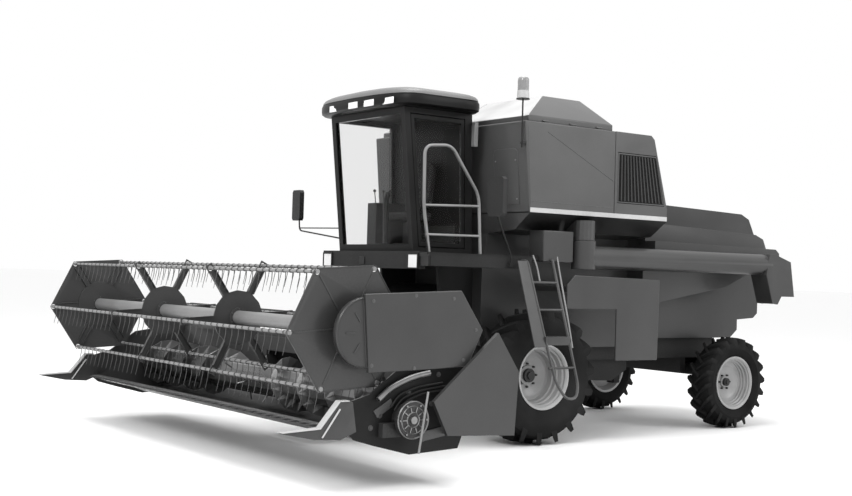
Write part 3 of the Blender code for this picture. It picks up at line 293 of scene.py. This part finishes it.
# ------------------------------------------------------------------ wheels
WH = (("front", "left", 1, 0.0, 1.295, 0.735, 0.355, 0.207, -0.08, 0.105, 18, 8),
      ("front", "right", -1, 0.0, 1.295, 0.735, 0.355, 0.207, -0.08, 0.105, 18, 8),
      ("rear", "left", 1, 3.371, 1.140, 0.565, 0.330, 0.135, -0.03, 0.070, 20, 6),
      ("rear", "right", -1, 3.371, 1.140, 0.565, 0.330, 0.135, -0.03, 0.070, 20, 6))
for axle, side, sg, y, x, R, rr, hw, dish, hub, lugs, bolts in WH:
    c = D(sg * x, y, R)
    place = Matrix.Translation(c) @ Matrix.Scale(sg, 4, (1, 0, 0))
    body = f"{axle}_wheel_{side}"
    lug_h = 0.060 if axle == "front" else 0.044
    Rc = R - lug_h
    bead = hw - 0.02
    prof = [(rr - 0.005, bead), (rr + 0.015, hw - 0.004), (rr + 0.05, hw + 0.010), ((Rc + rr) / 2, hw + 0.026),
            (Rc - 0.07, hw + 0.020), (Rc - 0.03, hw + 0.004), (Rc - 0.008, hw - 0.03), (Rc, hw - 0.10), (Rc + 0.002, 0.0)]
    prof = prof + [(r, -h) for r, h in reversed(prof[:-1])]
    bm = bmesh.new()
    revolve(bm, prof, 96, place, True)
    # chevron lugs, each a bent bar from the middle to the shoulder
    for k in range(lugs):
        for s in (1, -1):
            a0 = math.tau * (k + (0.5 if s < 0 else 0.0)) / lugs
            secs = []
            for t in (0.0, 0.35, 0.7, 1.0, 1.12):
                h = s * (-0.02 + (hw + 0.012 + 0.02) * min(t, 1.0))
                sweep = a0 - (0.26 if axle == "front" else 0.27) * t
                top = R - (0.0 if t < 0.8 else (0.006 if t < 1.05 else 0.055))
                low = Rc - 0.02 if t < 0.9 else Rc - 0.075
                w = (0.019 if axle == "front" else 0.014) / R * (1.0 + 0.35 * t)
                wb = w * 1.75
                if t > 1.05:
                    h = s * (hw + 0.021)
                secs.append([(low, sweep - wb, h), (top, sweep - w, h), (top, sweep + w, h), (low, sweep + wb, h)])
            rings = [[bm.verts.new(place @ Vector((h, r * math.cos(a), r * math.sin(a)))) for r, a, h in sec] for sec in secs]
            for A, B in zip(rings, rings[1:]):
                for i in range(4):
                    j = (i + 1) % 4
                    bm.faces.new((A[i], A[j], B[j], B[i]))
            bm.faces.new(rings[0]); bm.faces.new(rings[-1])
    t = finish(bm, f"{axle}_tyre_detail_{side}", "tyre_rubber", body, 30)
    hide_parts(f"{axle}_tyre_{side}")
    bm = bmesh.new()
    d = dish
    prof = [(0.001, d + 0.03), (hub * 0.55, d + 0.03), (hub * 0.6, d + 0.012), (hub, d + 0.008), (hub + 0.004, d - 0.012), (hub + 0.04, d - 0.012),
            (hub + 0.07, d + 0.004), (rr - 0.15, d + 0.010), (rr - 0.12, d + 0.03), (rr - 0.085, d + 0.030),
            *[(rr - q, d + (hw - d) * f) for q, f in ((0.075, 0.20), (0.075, 0.31), (0.062, 0.35), (0.062, 0.52), (0.048, 0.56),
                                                      (0.048, 0.78), (0.034, 0.83), (0.034, 0.92), (0.024, 0.97))],
            (rr - 0.010, hw), (rr, hw - 0.002), (rr, hw - 0.014), (rr - 0.012, hw - 0.018), (rr - 0.014, 0.018 - hw), (rr, 0.014 - hw),
            (rr, -hw), (rr - 0.03, -hw), (rr - 0.05, 0.03 - hw), (rr - 0.075, d - 0.005), (hub, d - 0.045), (0.001, d - 0.045)]
    revolve(bm, prof, 72, place, True)
    r = finish(bm, f"{axle}_rim_detail_{side}", "rim_paint", body, 30)
    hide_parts(f"{axle}_rim_{side}")
    bm = bmesh.new()
    for k in range(bolts):
        a = math.tau * k / bolts
        p = Vector((d - 0.012, (hub + 0.022) * math.cos(a), (hub + 0.022) * math.sin(a)))
        add_cyl(bm, place @ p, place @ (p + Vector((0.026, 0, 0))), 0.012, 6)
    add_cyl(bm, place @ Vector((d + 0.0, 0, 0)), place @ Vector((d + 0.045, 0, 0)), hub * 0.72, 28)
    add_cyl(bm, place @ Vector((d + 0.044, 0, 0)), place @ Vector((d + 0.062, 0, 0)), hub * 0.42, 24, hub * 0.36)
    finish(bm, f"{axle}_wheel_bolts_{side}", "cast_iron", body, 30)

# ------------------------------------------------------------------ reel bats with their spring tines
X0, X1 = -2.536, 2.928
RY, RZ, RR = -3.442, 1.347, 0.556
SPIDERS = (-0.70, 0.97)
for k in range(6):
    a = math.radians(3.8) + k * math.pi / 3
    by, bz = RY + RR * math.cos(a), RZ + RR * math.sin(a)
    bm = bmesh.new()
    add_cyl(bm, D(X0 - 0.006, by, bz), D(X1 + 0.006, by, bz), 0.0150, 18)
    for sx in (X0 - 0.005, *[q - 0.006 for q in SPIDERS], X1 - 0.019):
        add_cyl(bm, D(sx, by, bz), D(sx + 0.024, by, bz), 0.0195, 18)
    o = finish(bm, f"bat_pipe_{k + 1}", "rail_grey", f"bat_{k + 1}", 40)
    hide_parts(f"reel_bat_{k + 1}")
    bm = bmesh.new()
    n = 46
    for i in range(n):
        tx = X0 + 0.08 + (X1 - X0 - 0.16) * i / (n - 1)
        if any(-0.014 < tx - q < 0.052 for q in SPIDERS):
            continue
        for c in (-0.006, 0.0, 0.006):        # the coil around the pipe
            add_cyl(bm, D(tx + c - 0.0025, by, bz), D(tx + c + 0.0025, by, bz), 0.0188, 10)
        add_cyl(bm, D(tx, by + 0.016, bz - 0.006), D(tx, by + 0.014, bz - 0.075), 0.0042, 6)
        add_cyl(bm, D(tx, by + 0.014, bz - 0.073), D(tx, by - 0.012, bz - 0.188), 0.0040, 6, 0.0022)
    finish(bm, f"bat_tines_{k + 1}", "dark_steel", f"bat_{k + 1}", 40)

# hub plates, channel arms and pressed ribs of the reel
bm = bmesh.new()
for k in range(6):
    a = math.radians(3.8) + k * math.pi / 3
    for sx in SPIDERS:
        pl = Matrix.Translation(D(sx, RY, RZ)) @ Matrix.Rotation(a, 4, "X")
        for t in (-0.0345, 0.0285):
            slab(bm, pl, (0.0122, 0.262, t), (0.036, 0.515, t + 0.006))
    for x0, x1 in ((X0 + 0.0123, X0 + 0.0183), (X1 - 0.0303, X1 - 0.0243)):
        pl = Matrix.Translation(D(0, RY, RZ)) @ Matrix.Rotation(a, 4, "X")
        slab(bm, pl, (x0, 0.20, -0.036), (x1, 0.505, 0.036))
        for t in (-0.036, 0.030):
            lo, hi = (x0, x0 + 0.026) if x0 < 0 else (x1 - 0.026, x1)
            slab(bm, pl, (lo, 0.262, t), (hi, 0.505, t + 0.006))
    # ribs on the outside of the end shields
    for x0, x1 in ((X1 - 0.0005, X1 + 0.006), (X0 - 0.006, X0 + 0.0005)):
        pl = Matrix.Translation(D(0, RY, RZ)) @ Matrix.Rotation(a, 4, "X")
        slab(bm, pl, (x0, 0.10, -0.007), (x1, 0.515, 0.007))
        pl = Matrix.Translation(D(0, RY, RZ)) @ Matrix.Rotation(a + math.pi / 6, 4, "X")
        edge = (RR + 0.035) * math.cos(math.pi / 6)
        slab(bm, pl, (x0, edge - 0.010, -0.27), (x1, edge - 0.002, 0.27))
for x0 in (X0 + 0.0183, X1 - 0.0383):
    add_cyl(bm, D(x0, RY, RZ), D(x0 + 0.008, RY, RZ), 0.262, 48)
for sx in SPIDERS:
    for x0 in (sx + 0.0122, sx - 0.0102):
        add_cyl(bm, D(x0, RY, RZ), D(x0 + 0.010, RY, RZ), 0.095, 28)
finish(bm, "reel_pressings", "panel_paint", "reel", 30, bevel=0.0015)
bm = bmesh.new()
for x0, x1 in ((X0 + 0.03, SPIDERS[0] - 0.012), (SPIDERS[0] + 0.024, SPIDERS[1] - 0.012), (SPIDERS[1] + 0.024, X1 - 0.042)):
    add_cyl(bm, D(x0, RY, RZ), D(x1, RY, RZ), 0.0665, 40)
finish(bm, "reel_tube", "rail_grey", "reel", 40)
bm = bmesh.new()
for x0 in (X0 + 0.0263, X1 - 0.0463, *[q + 0.0222 for q in SPIDERS], *[q - 0.0182 for q in SPIDERS]):
    for q in range(6):
        a = math.tau * (q + 0.5) / 6
        add_cyl(bm, D(x0, RY + 0.082 * math.cos(a), RZ + 0.082 * math.sin(a)), D(x0 + 0.008, RY + 0.082 * math.cos(a), RZ + 0.082 * math.sin(a)), 0.008, 6)
finish(bm, "reel_hub_bolts", "dark_steel", "reel", 30)

# ------------------------------------------------------------------ header: divider boards, drives, guards
bm = bmesh.new()
board = [(-4.095, 0.518), (-3.742, 0.534), (-3.562, 0.749), (-3.475, 0.749), (-3.475, 0.761), (-3.568, 0.761), (-3.748, 0.548), (-4.095, 0.527)]
for xc in (-2.608, 3.005):
    prism(bm, board, xc - 0.036, xc + 0.036)
    prism(bm, [(-3.735, 0.470), (-3.725, 0.462), (-3.560, 0.690), (-3.572, 0.698)], xc + 0.031, xc + 0.043)
finish(bm, "divider_boards", "pale_board", "header", 30, bevel=0.003)
bm = bmesh.new()
pl = Matrix.Translation(D(3.14, -2.90, 0.585))
for r, t in ((0.155, 0.007), (0.118, 0.005), (0.062, 0.006)):
    ring(bm, pl, r, 0.0, t)
for q in range(10):
    a = Matrix.Rotation(math.tau * q / 10, 4, "X")
    slab(bm, pl @ a, (-0.001, 0.066, -0.004), (0.008, 0.112, 0.004))
for q in range(6):
    a = math.tau * q / 6
    v = Vector((0, 0.137 * math.cos(a), 0.137 * math.sin(a)))
    add_cyl(bm, pl @ v, pl @ (v + Vector((0.010, 0, 0))), 0.009, 6)
add_cyl(bm, pl @ Vector((0, 0, 0)), pl @ Vector((0.016, 0, 0)), 0.032, 24)
finish(bm, "knife_pulley_face", "auger_steel", "header", 30)
tube("drive_guard", bend([(3.045, -3.197, 0.757), (3.045, -3.10, 0.835), (3.045, -3.019, 0.878), (3.045, -2.85, 0.940), (3.045, -2.678, 0.968)], 0.08), 0.026,
     "auger_steel", "header")
tube("end_strut", [(3.167, -2.774, 0.822), (3.167, -2.855, 0.305)], 0.010, "rail_grey", "header")
for q, (y0, z0) in enumerate(((0.0, 0.0), (0.035, -0.03), (0.07, -0.055))):
    tube(f"drive_line_{q + 1}", bend([(3.022, -3.05 + y0, 0.690 + z0), (3.030, -2.98 + y0, 0.790 + z0), (3.030, -2.80 + y0, 0.850 + z0), (3.024, -2.52 + y0, 0.880 + z0)], 0.06),
         0.009, "black_plastic", "header")
bm = bmesh.new()
for y, z in ((-3.15, 0.62), (-3.04, 0.50), (-2.70, 0.40), (-2.55, 0.95), (-2.40, 0.80), (-2.86, 0.80), (-3.24, 0.52), (-2.62, 0.70)):
    add_cyl(bm, D(3.0045, y, z), D(3.016, y, z), 0.014, 6)
    add_cyl(bm, D(3.0045, y, z), D(3.008, y, z), 0.024, 16)
prism(bm, [(-3.22, 0.66), (-3.05, 0.76), (-3.02, 0.70), (-3.18, 0.60)], 3.0055, 3.016)
prism(bm, [(-2.75, 0.46), (-2.48, 0.50), (-2.46, 0.42), (-2.72, 0.38)], 3.0055, 3.018)
finish(bm, "end_sheet_fittings", "dark_steel", "header", 30, bevel=0.0015)
# reel drive cover: rim, ribs and bolts
bm = bmesh.new()
pl = Matrix.Translation(D(3.10, RY + 0.07, RZ - 0.03))
ring(bm, pl, 0.286, 0.002, 0.007, 64)
for deg in (125, 180, 235):
    slab(bm, pl @ Matrix.Rotation(math.radians(deg), 4, "X"), (-0.001, 0.11, -0.006), (0.007, 0.20, 0.006))
finish(bm, "drive_cover_rim", "panel_paint", "reel_arms", 40, bevel=0.001)
bm = bmesh.new()
for y, z in ((-3.33, 1.58), (-3.33, 1.05), (-2.50, 1.61), (-2.38, 1.08), (-2.25, 1.34), (-2.90, 1.63), (-2.90, 1.02)):
    add_cyl(bm, D(3.1295, y, z), D(3.136, y, z), 0.010, 6)
    add_cyl(bm, D(3.1295, y, z), D(3.1325, y, z), 0.017, 16)
finish(bm, "drive_cover_bolts", "dark_steel", "reel_arms", 30)
bm = bmesh.new()
for y, z in ((-2.66, 0.74), (-2.10, 1.22), (-1.90, 0.96), (-1.92, 0.46), (-2.52, 0.49)):
    add_cyl(bm, D(3.1995, y, z), D(3.1998 , y, z), 0.016, 16)
    add_cyl(bm, D(3.1990, y, z), D(3.1999, y, z), 0.009, 6)
finish(bm, "end_shield_bolts", "dark_steel", "header", 30)
bm = bmesh.new()       # knife sections on the cutter bar
for q in range(72):
    kx = -2.62 + 0.075 + (5.625 - 0.15) * q / 71
    v = [D(kx - 0.034, -3.405, 0.5045), D(kx + 0.034, -3.405, 0.5045), D(kx, -3.50, 0.5045)]
    a = [bm.verts.new(p) for p in v]; b = [bm.verts.new(p + Vector((0, 0, 0.003))) for p in v]
    bm.faces.new(a); bm.faces.new(b)
    for g in range(3):
        bm.faces.new((a[g], a[(g + 1) % 3], b[(g + 1) % 3], b[g]))
finish(bm, "knife_sections", "auger_steel", "header", 30)

# ------------------------------------------------------------------ louvres, stripe, lamps
bm = bmesh.new()
for i in range(13):
    t = (i + 0.5) / 13
    y = 1.10 + 0.60 * t
    lean = Matrix.Rotation(math.radians(0), 4, "X")
    z1, z0 = 3.235, 2.715
    skew = 0.13 * max(0.0, (t - 0.0))
    v = [D(1.4495, y - 0.009, z1), D(1.4495, y + 0.006, z1), D(1.4495, y + 0.006 + skew, z0), D(1.4495, y - 0.009 + skew, z0)]
    w = [p + Vector((0.012, 0, 0)) for p in v]
    vs = [bm.verts.new(p) for p in v + w]
    for f in ((0, 1, 2, 3), (4, 5, 6, 7), (0, 1, 5, 4), (1, 2, 6, 5), (2, 3, 7, 6), (3, 0, 4, 7)):
        bm.faces.new([vs[q] for q in f])
finish(bm, "engine_louvres", "slat_grey", "engine_door", 30)
bm = bmesh.new()
v = [D(1.4490, 1.09, 3.245), D(1.4490, 1.675, 3.245), D(1.4490, 1.815, 2.705), D(1.4490, 1.09, 2.705)]
w = [p + Vector((0.003, 0, 0)) for p in v]
vs = [bm.verts.new(p) for p in v + w]
for f in ((0, 1, 2, 3), (4, 5, 6, 7), (0, 1, 5, 4), (1, 2, 6, 5), (2, 3, 7, 6), (3, 0, 4, 7)):
    bm.faces.new([vs[q] for q in f])
finish(bm, "louvre_backing", "grille_black", "engine_door", 30)
for s in (1, -1):
    bm = bmesh.new()
    x0, x1 = sorted((s * 1.449, s * 1.4535))
    add_box(bm, D(x0, -0.225, 2.515), D(x1, 1.885, 2.565))
    finish(bm, f"side_stripe_{'left' if s > 0 else 'right'}", "stripe_white", "chassis", 30)
bm = bmesh.new()
for x in (-0.86, 0.86):
    add_box(bm, D(x - 0.082, -1.340, 1.878), D(x + 0.082, -1.331, 2.018))
for x, w in ((0.66, 0.10), (0.34, 0.095), (0.04, 0.09), (-0.40, 0.07)):
    yf = -1.63 + 0.10 * (abs(x) / 0.93) ** 2.2
    add_box(bm, D(x - w, yf - 0.001, 3.615), D(x + w, yf + 0.010, 3.685))
finish(bm, "lamps", "lamp_lens", "chassis", 30, bevel=0.004)
bm = bmesh.new()
for x in (-0.86, 0.86):
    for lo, hi in (((x - 0.10, 2.018), (x + 0.10, 2.034)), ((x - 0.10, 1.868), (x + 0.10, 1.878)), ((x - 0.10, 1.878), (x - 0.082, 2.018)), ((x + 0.082, 1.878), (x + 0.10, 2.018))):
        add_box(bm, D(lo[0], -1.345, lo[1]), D(hi[0], -1.3305, hi[1]))
add_box(bm, D(-0.18, -1.338, 1.905), D(-0.08, -1.3305, 1.99))
finish(bm, "lamp_bezels", "black_plastic", "chassis", 30, bevel=0.002)

# tank side: crease, seam under the crease and along the stripe, hinge straps, front hatch
bm = bmesh.new()
for s_ in (1, -1):
    add_cyl(bm, D(s_ * 1.449, 0.0, 3.40), D(s_ * 1.449, 1.02, 2.922), 0.0045, 8)
    add_cyl(bm, D(s_ * 1.449, -0.22, 2.635), D(s_ * 1.449, 1.02, 2.625), 0.0035, 8)
    add_cyl(bm, D(s_ * 1.449, -0.215, 2.60), D(s_ * 1.449, -0.285, 3.44), 0.0045, 8)
    for y in (0.0, 0.4, 0.8):
        lo, hi = sorted((s_ * 1.402, s_ * 1.438))
        add_box(bm, D(lo, y - 0.035, 3.5005), D(hi, y + 0.035, 3.506))
        add_cyl(bm, D(s_ * 1.406, y - 0.045, 3.519), D(s_ * 1.406, y + 0.045, 3.519), 0.009, 12)
finish(bm, "tank_seams", "tank_paint", "chassis", 40)
bm = bmesh.new()
outline = [(0.884, 2.60), (1.296, 2.60)] + [(1.236 + 0.06 * math.cos(t), 3.15 + 0.06 * math.sin(t)) for t in (0, 0.4, 0.8, 1.2, 1.57)] + \
          [(0.944 + 0.06 * math.cos(t), 3.15 + 0.06 * math.sin(t)) for t in (1.57, 2.0, 2.4, 2.8, 3.14)]
f0 = [bm.verts.new(D(x, -0.2325 - 0.0909 * (z - 2.51), z)) for x, z in outline]
f1 = [bm.verts.new(D(x, -0.2400 - 0.0909 * (z - 2.51), z)) for x, z in outline]
bm.faces.new(f0); bm.faces.new(f1)
for q in range(len(outline)):
    r_ = (q + 1) % len(outline)
    bm.faces.new((f0[q], f0[r_], f1[r_], f1[q]))
finish(bm, "tank_front_hatch", "tank_paint", "chassis", 40, bevel=0.003)
bm = bmesh.new()
for x, z in ((0.92, 2.66), (1.26, 2.66), (0.92, 3.08), (1.26, 3.08)):
    yy = -0.2400 - 0.0909 * (z - 2.51)
    add_cyl(bm, D(x, yy + 0.001, z), D(x, yy - 0.006, z), 0.010, 6)
add_box(bm, D(0.742, -0.505, 3.24), D(0.800, -0.455, 3.51))
finish(bm, "hatch_bolts_and_handle", "rail_grey", "chassis", 40, bevel=0.003)

# roof: a black lower band with a crowned grey cap
def plan(inset, z, crown=0.0):
    out = []
    for q in range(96):
        t = math.tau * q / 96
        c, sn = math.cos(t), math.sin(t)
        x = (0.93 - inset) * math.copysign(abs(c) ** 0.32, c)
        yy = math.copysign(abs(sn) ** 0.32, sn)
        y = -1.02 + yy * (0.61 - inset)
        if yy < 0:
            y += 0.10 * (abs(x) / 0.93) ** 2.2 * (-yy)
        out.append(D(x, y, z + crown * (1 - (x / 0.93) ** 2)))
    return out


def lofted(levels, name, mat, close_low, close_top):
    bm = bmesh.new()
    rings = [[bm.verts.new(p) for p in plan(*lv)] for lv in levels]
    for a, b in zip(rings, rings[1:]):
        for q in range(96):
            r_ = (q + 1) % 96
            bm.faces.new((a[q], a[r_], b[r_], b[q]))
    if close_low:
        bm.faces.new(rings[0])
    if close_top:
        bm.faces.new(rings[-1])
    return finish(bm, name, mat, "chassis", 40)


band = lofted([(0.10, 3.6015), (0.03, 3.604), (0.004, 3.625), (0.0, 3.66), (0.0, 3.700), (0.008, 3.722), (0.030, 3.7245)], "roof_band", "cab_black", True, True)
cap = lofted([(0.020, 3.726), (0.012, 3.733), (0.016, 3.752), (0.035, 3.775, 0.004), (0.075, 3.792, 0.012), (0.15, 3.804, 0.022),
              (0.26, 3.810, 0.030), (0.38, 3.812, 0.034), (0.50, 3.813, 0.036)], "roof_cap", "roof_grey", True, True)
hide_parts("cab_roof")

# beacon: slim post, pale base, ribbed lens
bm = bmesh.new()
add_cyl(bm, D(1.42, -0.345, 3.20), D(1.42, -0.345, 3.725), 0.009, 12)
add_box(bm, D(1.396, -0.351, 3.242), D(1.444, -0.304, 3.268))
add_cyl(bm, D(1.42, -0.345, 3.72), D(1.42, -0.345, 3.730), 0.074, 32)
finish(bm, "beacon_post", "black_plastic", "chassis", 40, bevel=0.001)
bm = bmesh.new()
add_cyl(bm, D(1.42, -0.345, 3.730), D(1.42, -0.345, 3.815), 0.068, 32, 0.064)
finish(bm, "beacon_base", "stripe_white", "chassis", 40, bevel=0.003)
bm = bmesh.new()
pl = Matrix.Translation(D(1.42, -0.345, 3.815)) @ Matrix.Rotation(math.radians(-90), 4, "Y")
revolve(bm, [(0.0005, 0.0), (0.062, 0.0), *[(0.0625 - 0.0018 * (q % 2), 0.006 + 0.012 * q) for q in range(10)], (0.058, 0.132), (0.050, 0.142), (0.030, 0.1475), (0.0005, 0.149)], 40, pl, False)
dome = finish(bm, "beacon_dome", "beacon_lens", "chassis", 40)
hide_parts("beacon")

# hand rails, light grey all along
RX = 1.33
for q, (pts, r) in enumerate((([(RX, -1.47, 2.042), (RX, -1.55, 2.50), (RX, -1.56, 3.13), (RX, -1.22, 3.16), (RX, -0.84, 2.66), (RX, -0.80, 2.042)], 0.0168),
                              ([(RX, -1.555, 2.52), (RX, -0.835, 2.545)], 0.0128), ([(RX, -1.52, 2.22), (RX, -0.81, 2.23)], 0.0128))):
    tube(f"guard_rail_{q + 1}", bend(pts, 0.10, 8), r, "rail_grey", "chassis")
tube("ladder_handrail_1", bend([(1.44, -0.158, 2.049), (1.50, -0.150, 1.93), (1.54, -0.136, 1.764)], 0.05), 0.010, "rail_grey", "chassis")
tube("ladder_handrail_2", bend([(1.441, 0.187, 2.045), (1.56, 0.165, 1.72), (1.70, 0.150, 1.32), (1.786, 0.133, 1.07)], 0.10), 0.010, "rail_grey", "chassis")

# cab inside: console, levers, rear wall panel
bm = bmesh.new()
add_box(bm, D(-0.52, -1.02, 2.10), D(-0.34, -0.62, 2.62))
add_box(bm, D(-0.50, -0.515, 2.15), D(0.50, -0.505, 2.75))
for x, y in ((-0.46, -0.95), (-0.43, -0.85), (-0.40, -0.78)):
    add_cyl(bm, D(x, y, 2.61), D(x, y - 0.02, 2.76), 0.006, 8)
    bmesh.ops.create_uvsphere(bm, u_segments=12, v_segments=8, radius=0.018, matrix=Matrix.Translation(D(x, y - 0.02, 2.765)))
finish(bm, "cab_console", "slat_grey", "chassis", 40, bevel=0.006)

# ------------------------------------------------------------------ seat: crowned pads with sewn channels
def pad(bm, centre, size, tilt, channels, across):
    """A crowned cushion: a superellipsoid with grooves pressed in along its sewn channels."""
    place = Matrix.Translation(D(*centre)) @ Matrix.Rotation(tilt, 4, "X")
    nu, nv = 56, 28
    rows = []
    for v in range(nv + 1):
        phi = -math.pi / 2 + math.pi * v / nv
        row = []
        for u in range(nu):
            th = math.tau * u / nu
            def pw(c, e):
                return math.copysign(abs(c) ** e, c)
            x = pw(math.cos(phi), 0.34) * pw(math.cos(th), 0.34)
            y = pw(math.cos(phi), 0.34) * pw(math.sin(th), 0.34)
            z = pw(math.sin(phi), 0.42)
            groove = 0.0
            for g in range(1, channels):
                c = -1 + 2 * g / channels
                groove += math.exp(-(((x if across else y) - c) / 0.035) ** 2)
            k = 1.0 - 0.16 * min(1.0, groove)
            q = Vector((x * size[0] / 2, y * size[1] / 2, z * size[2] / 2))
            q[2 if size[2] < size[1] else 1] *= k
            row.append(bm.verts.new(place @ q))
            if v in (0, nv):
                break
        rows.append(row)
    for a, b in zip(rows, rows[1:]):
        for u in range(nu):
            w = (u + 1) % nu
            if len(a) == 1:
                bm.faces.new((a[0], b[w], b[u]))
            elif len(b) == 1:
                bm.faces.new((a[u], a[w], b[0]))
            else:
                bm.faces.new((a[u], a[w], b[w], b[u]))


bm = bmesh.new()
pad(bm, (0, -0.795, 2.462), (0.49, 0.34, 0.118), 0.0, 4, True)
pad(bm, (0, -0.648, 2.810), (0.46, 0.088, 0.56), math.radians(-7), 4, True)
seat = finish(bm, "seat_pads", "seat_fabric", "chassis", 60)
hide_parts("operator_seat")

# ------------------------------------------------------------------ camera, light, floor
az, pitch, roll = math.radians(54.023), math.radians(1.172), math.radians(1.706)
fwd = Vector((-math.sin(az) * math.cos(pitch), math.cos(az) * math.cos(pitch), math.sin(pitch)))
right = Vector((math.cos(az), math.sin(az), 0))
up = right.cross(fwd)
cx = right * math.cos(roll) + up * math.sin(roll)
cy = -right * math.sin(roll) + up * math.cos(roll)
cam = bpy.data.cameras.new("camera")
cam.lens, cam.sensor_width, cam.sensor_fit = 53.02, 36.0, "HORIZONTAL"
co = bpy.data.objects.new("camera", cam)
bpy.context.scene.collection.objects.link(co)
m = Matrix((cx, cy, -fwd)).transposed().to_4x4()
m.translation = D(11.72096, -9.05155, 1.81736)
co.matrix_world = m
bpy.context.scene.camera = co

fm = bpy.data.materials.new("floor"); fm.use_nodes = True
fb = fm.node_tree.nodes["Principled BSDF"]
fb.inputs["Base Color"].default_value = (0.96, 0.96, 0.96, 1); fb.inputs["Roughness"].default_value = 0.9
bpy.ops.mesh.primitive_plane_add(size=600, location=(0, 0, -0.0005))
fl = bpy.context.object; fl.name = "floor"
fl.data.materials.append(fm)

w = bpy.data.worlds.new("studio"); bpy.context.scene.world = w; w.use_nodes = True
w.node_tree.nodes["Background"].inputs["Color"].default_value = (1, 1, 1, 1)
w.node_tree.nodes["Background"].inputs["Strength"].default_value = 1.0


def area(name, loc, target, size, power):
    ld = bpy.data.lights.new(name, "AREA"); ld.size = size; ld.energy = power
    lo = bpy.data.objects.new(name, ld); bpy.context.scene.collection.objects.link(lo)
    lo.location = loc
    lo.rotation_euler = (Vector(target) - Vector(loc)).to_track_quat("-Z", "Y").to_euler()


area("key", (7, -13, 12), (0, -1, 1.5), 6, 1100)
area("rim", (12, 9, 9), (0, 1, 1.5), 6, 500)
area("top", (0, 0, 14), (0, 0, 0), 8, 1300)
bpy.context.scene.view_settings.view_transform = "Standard"
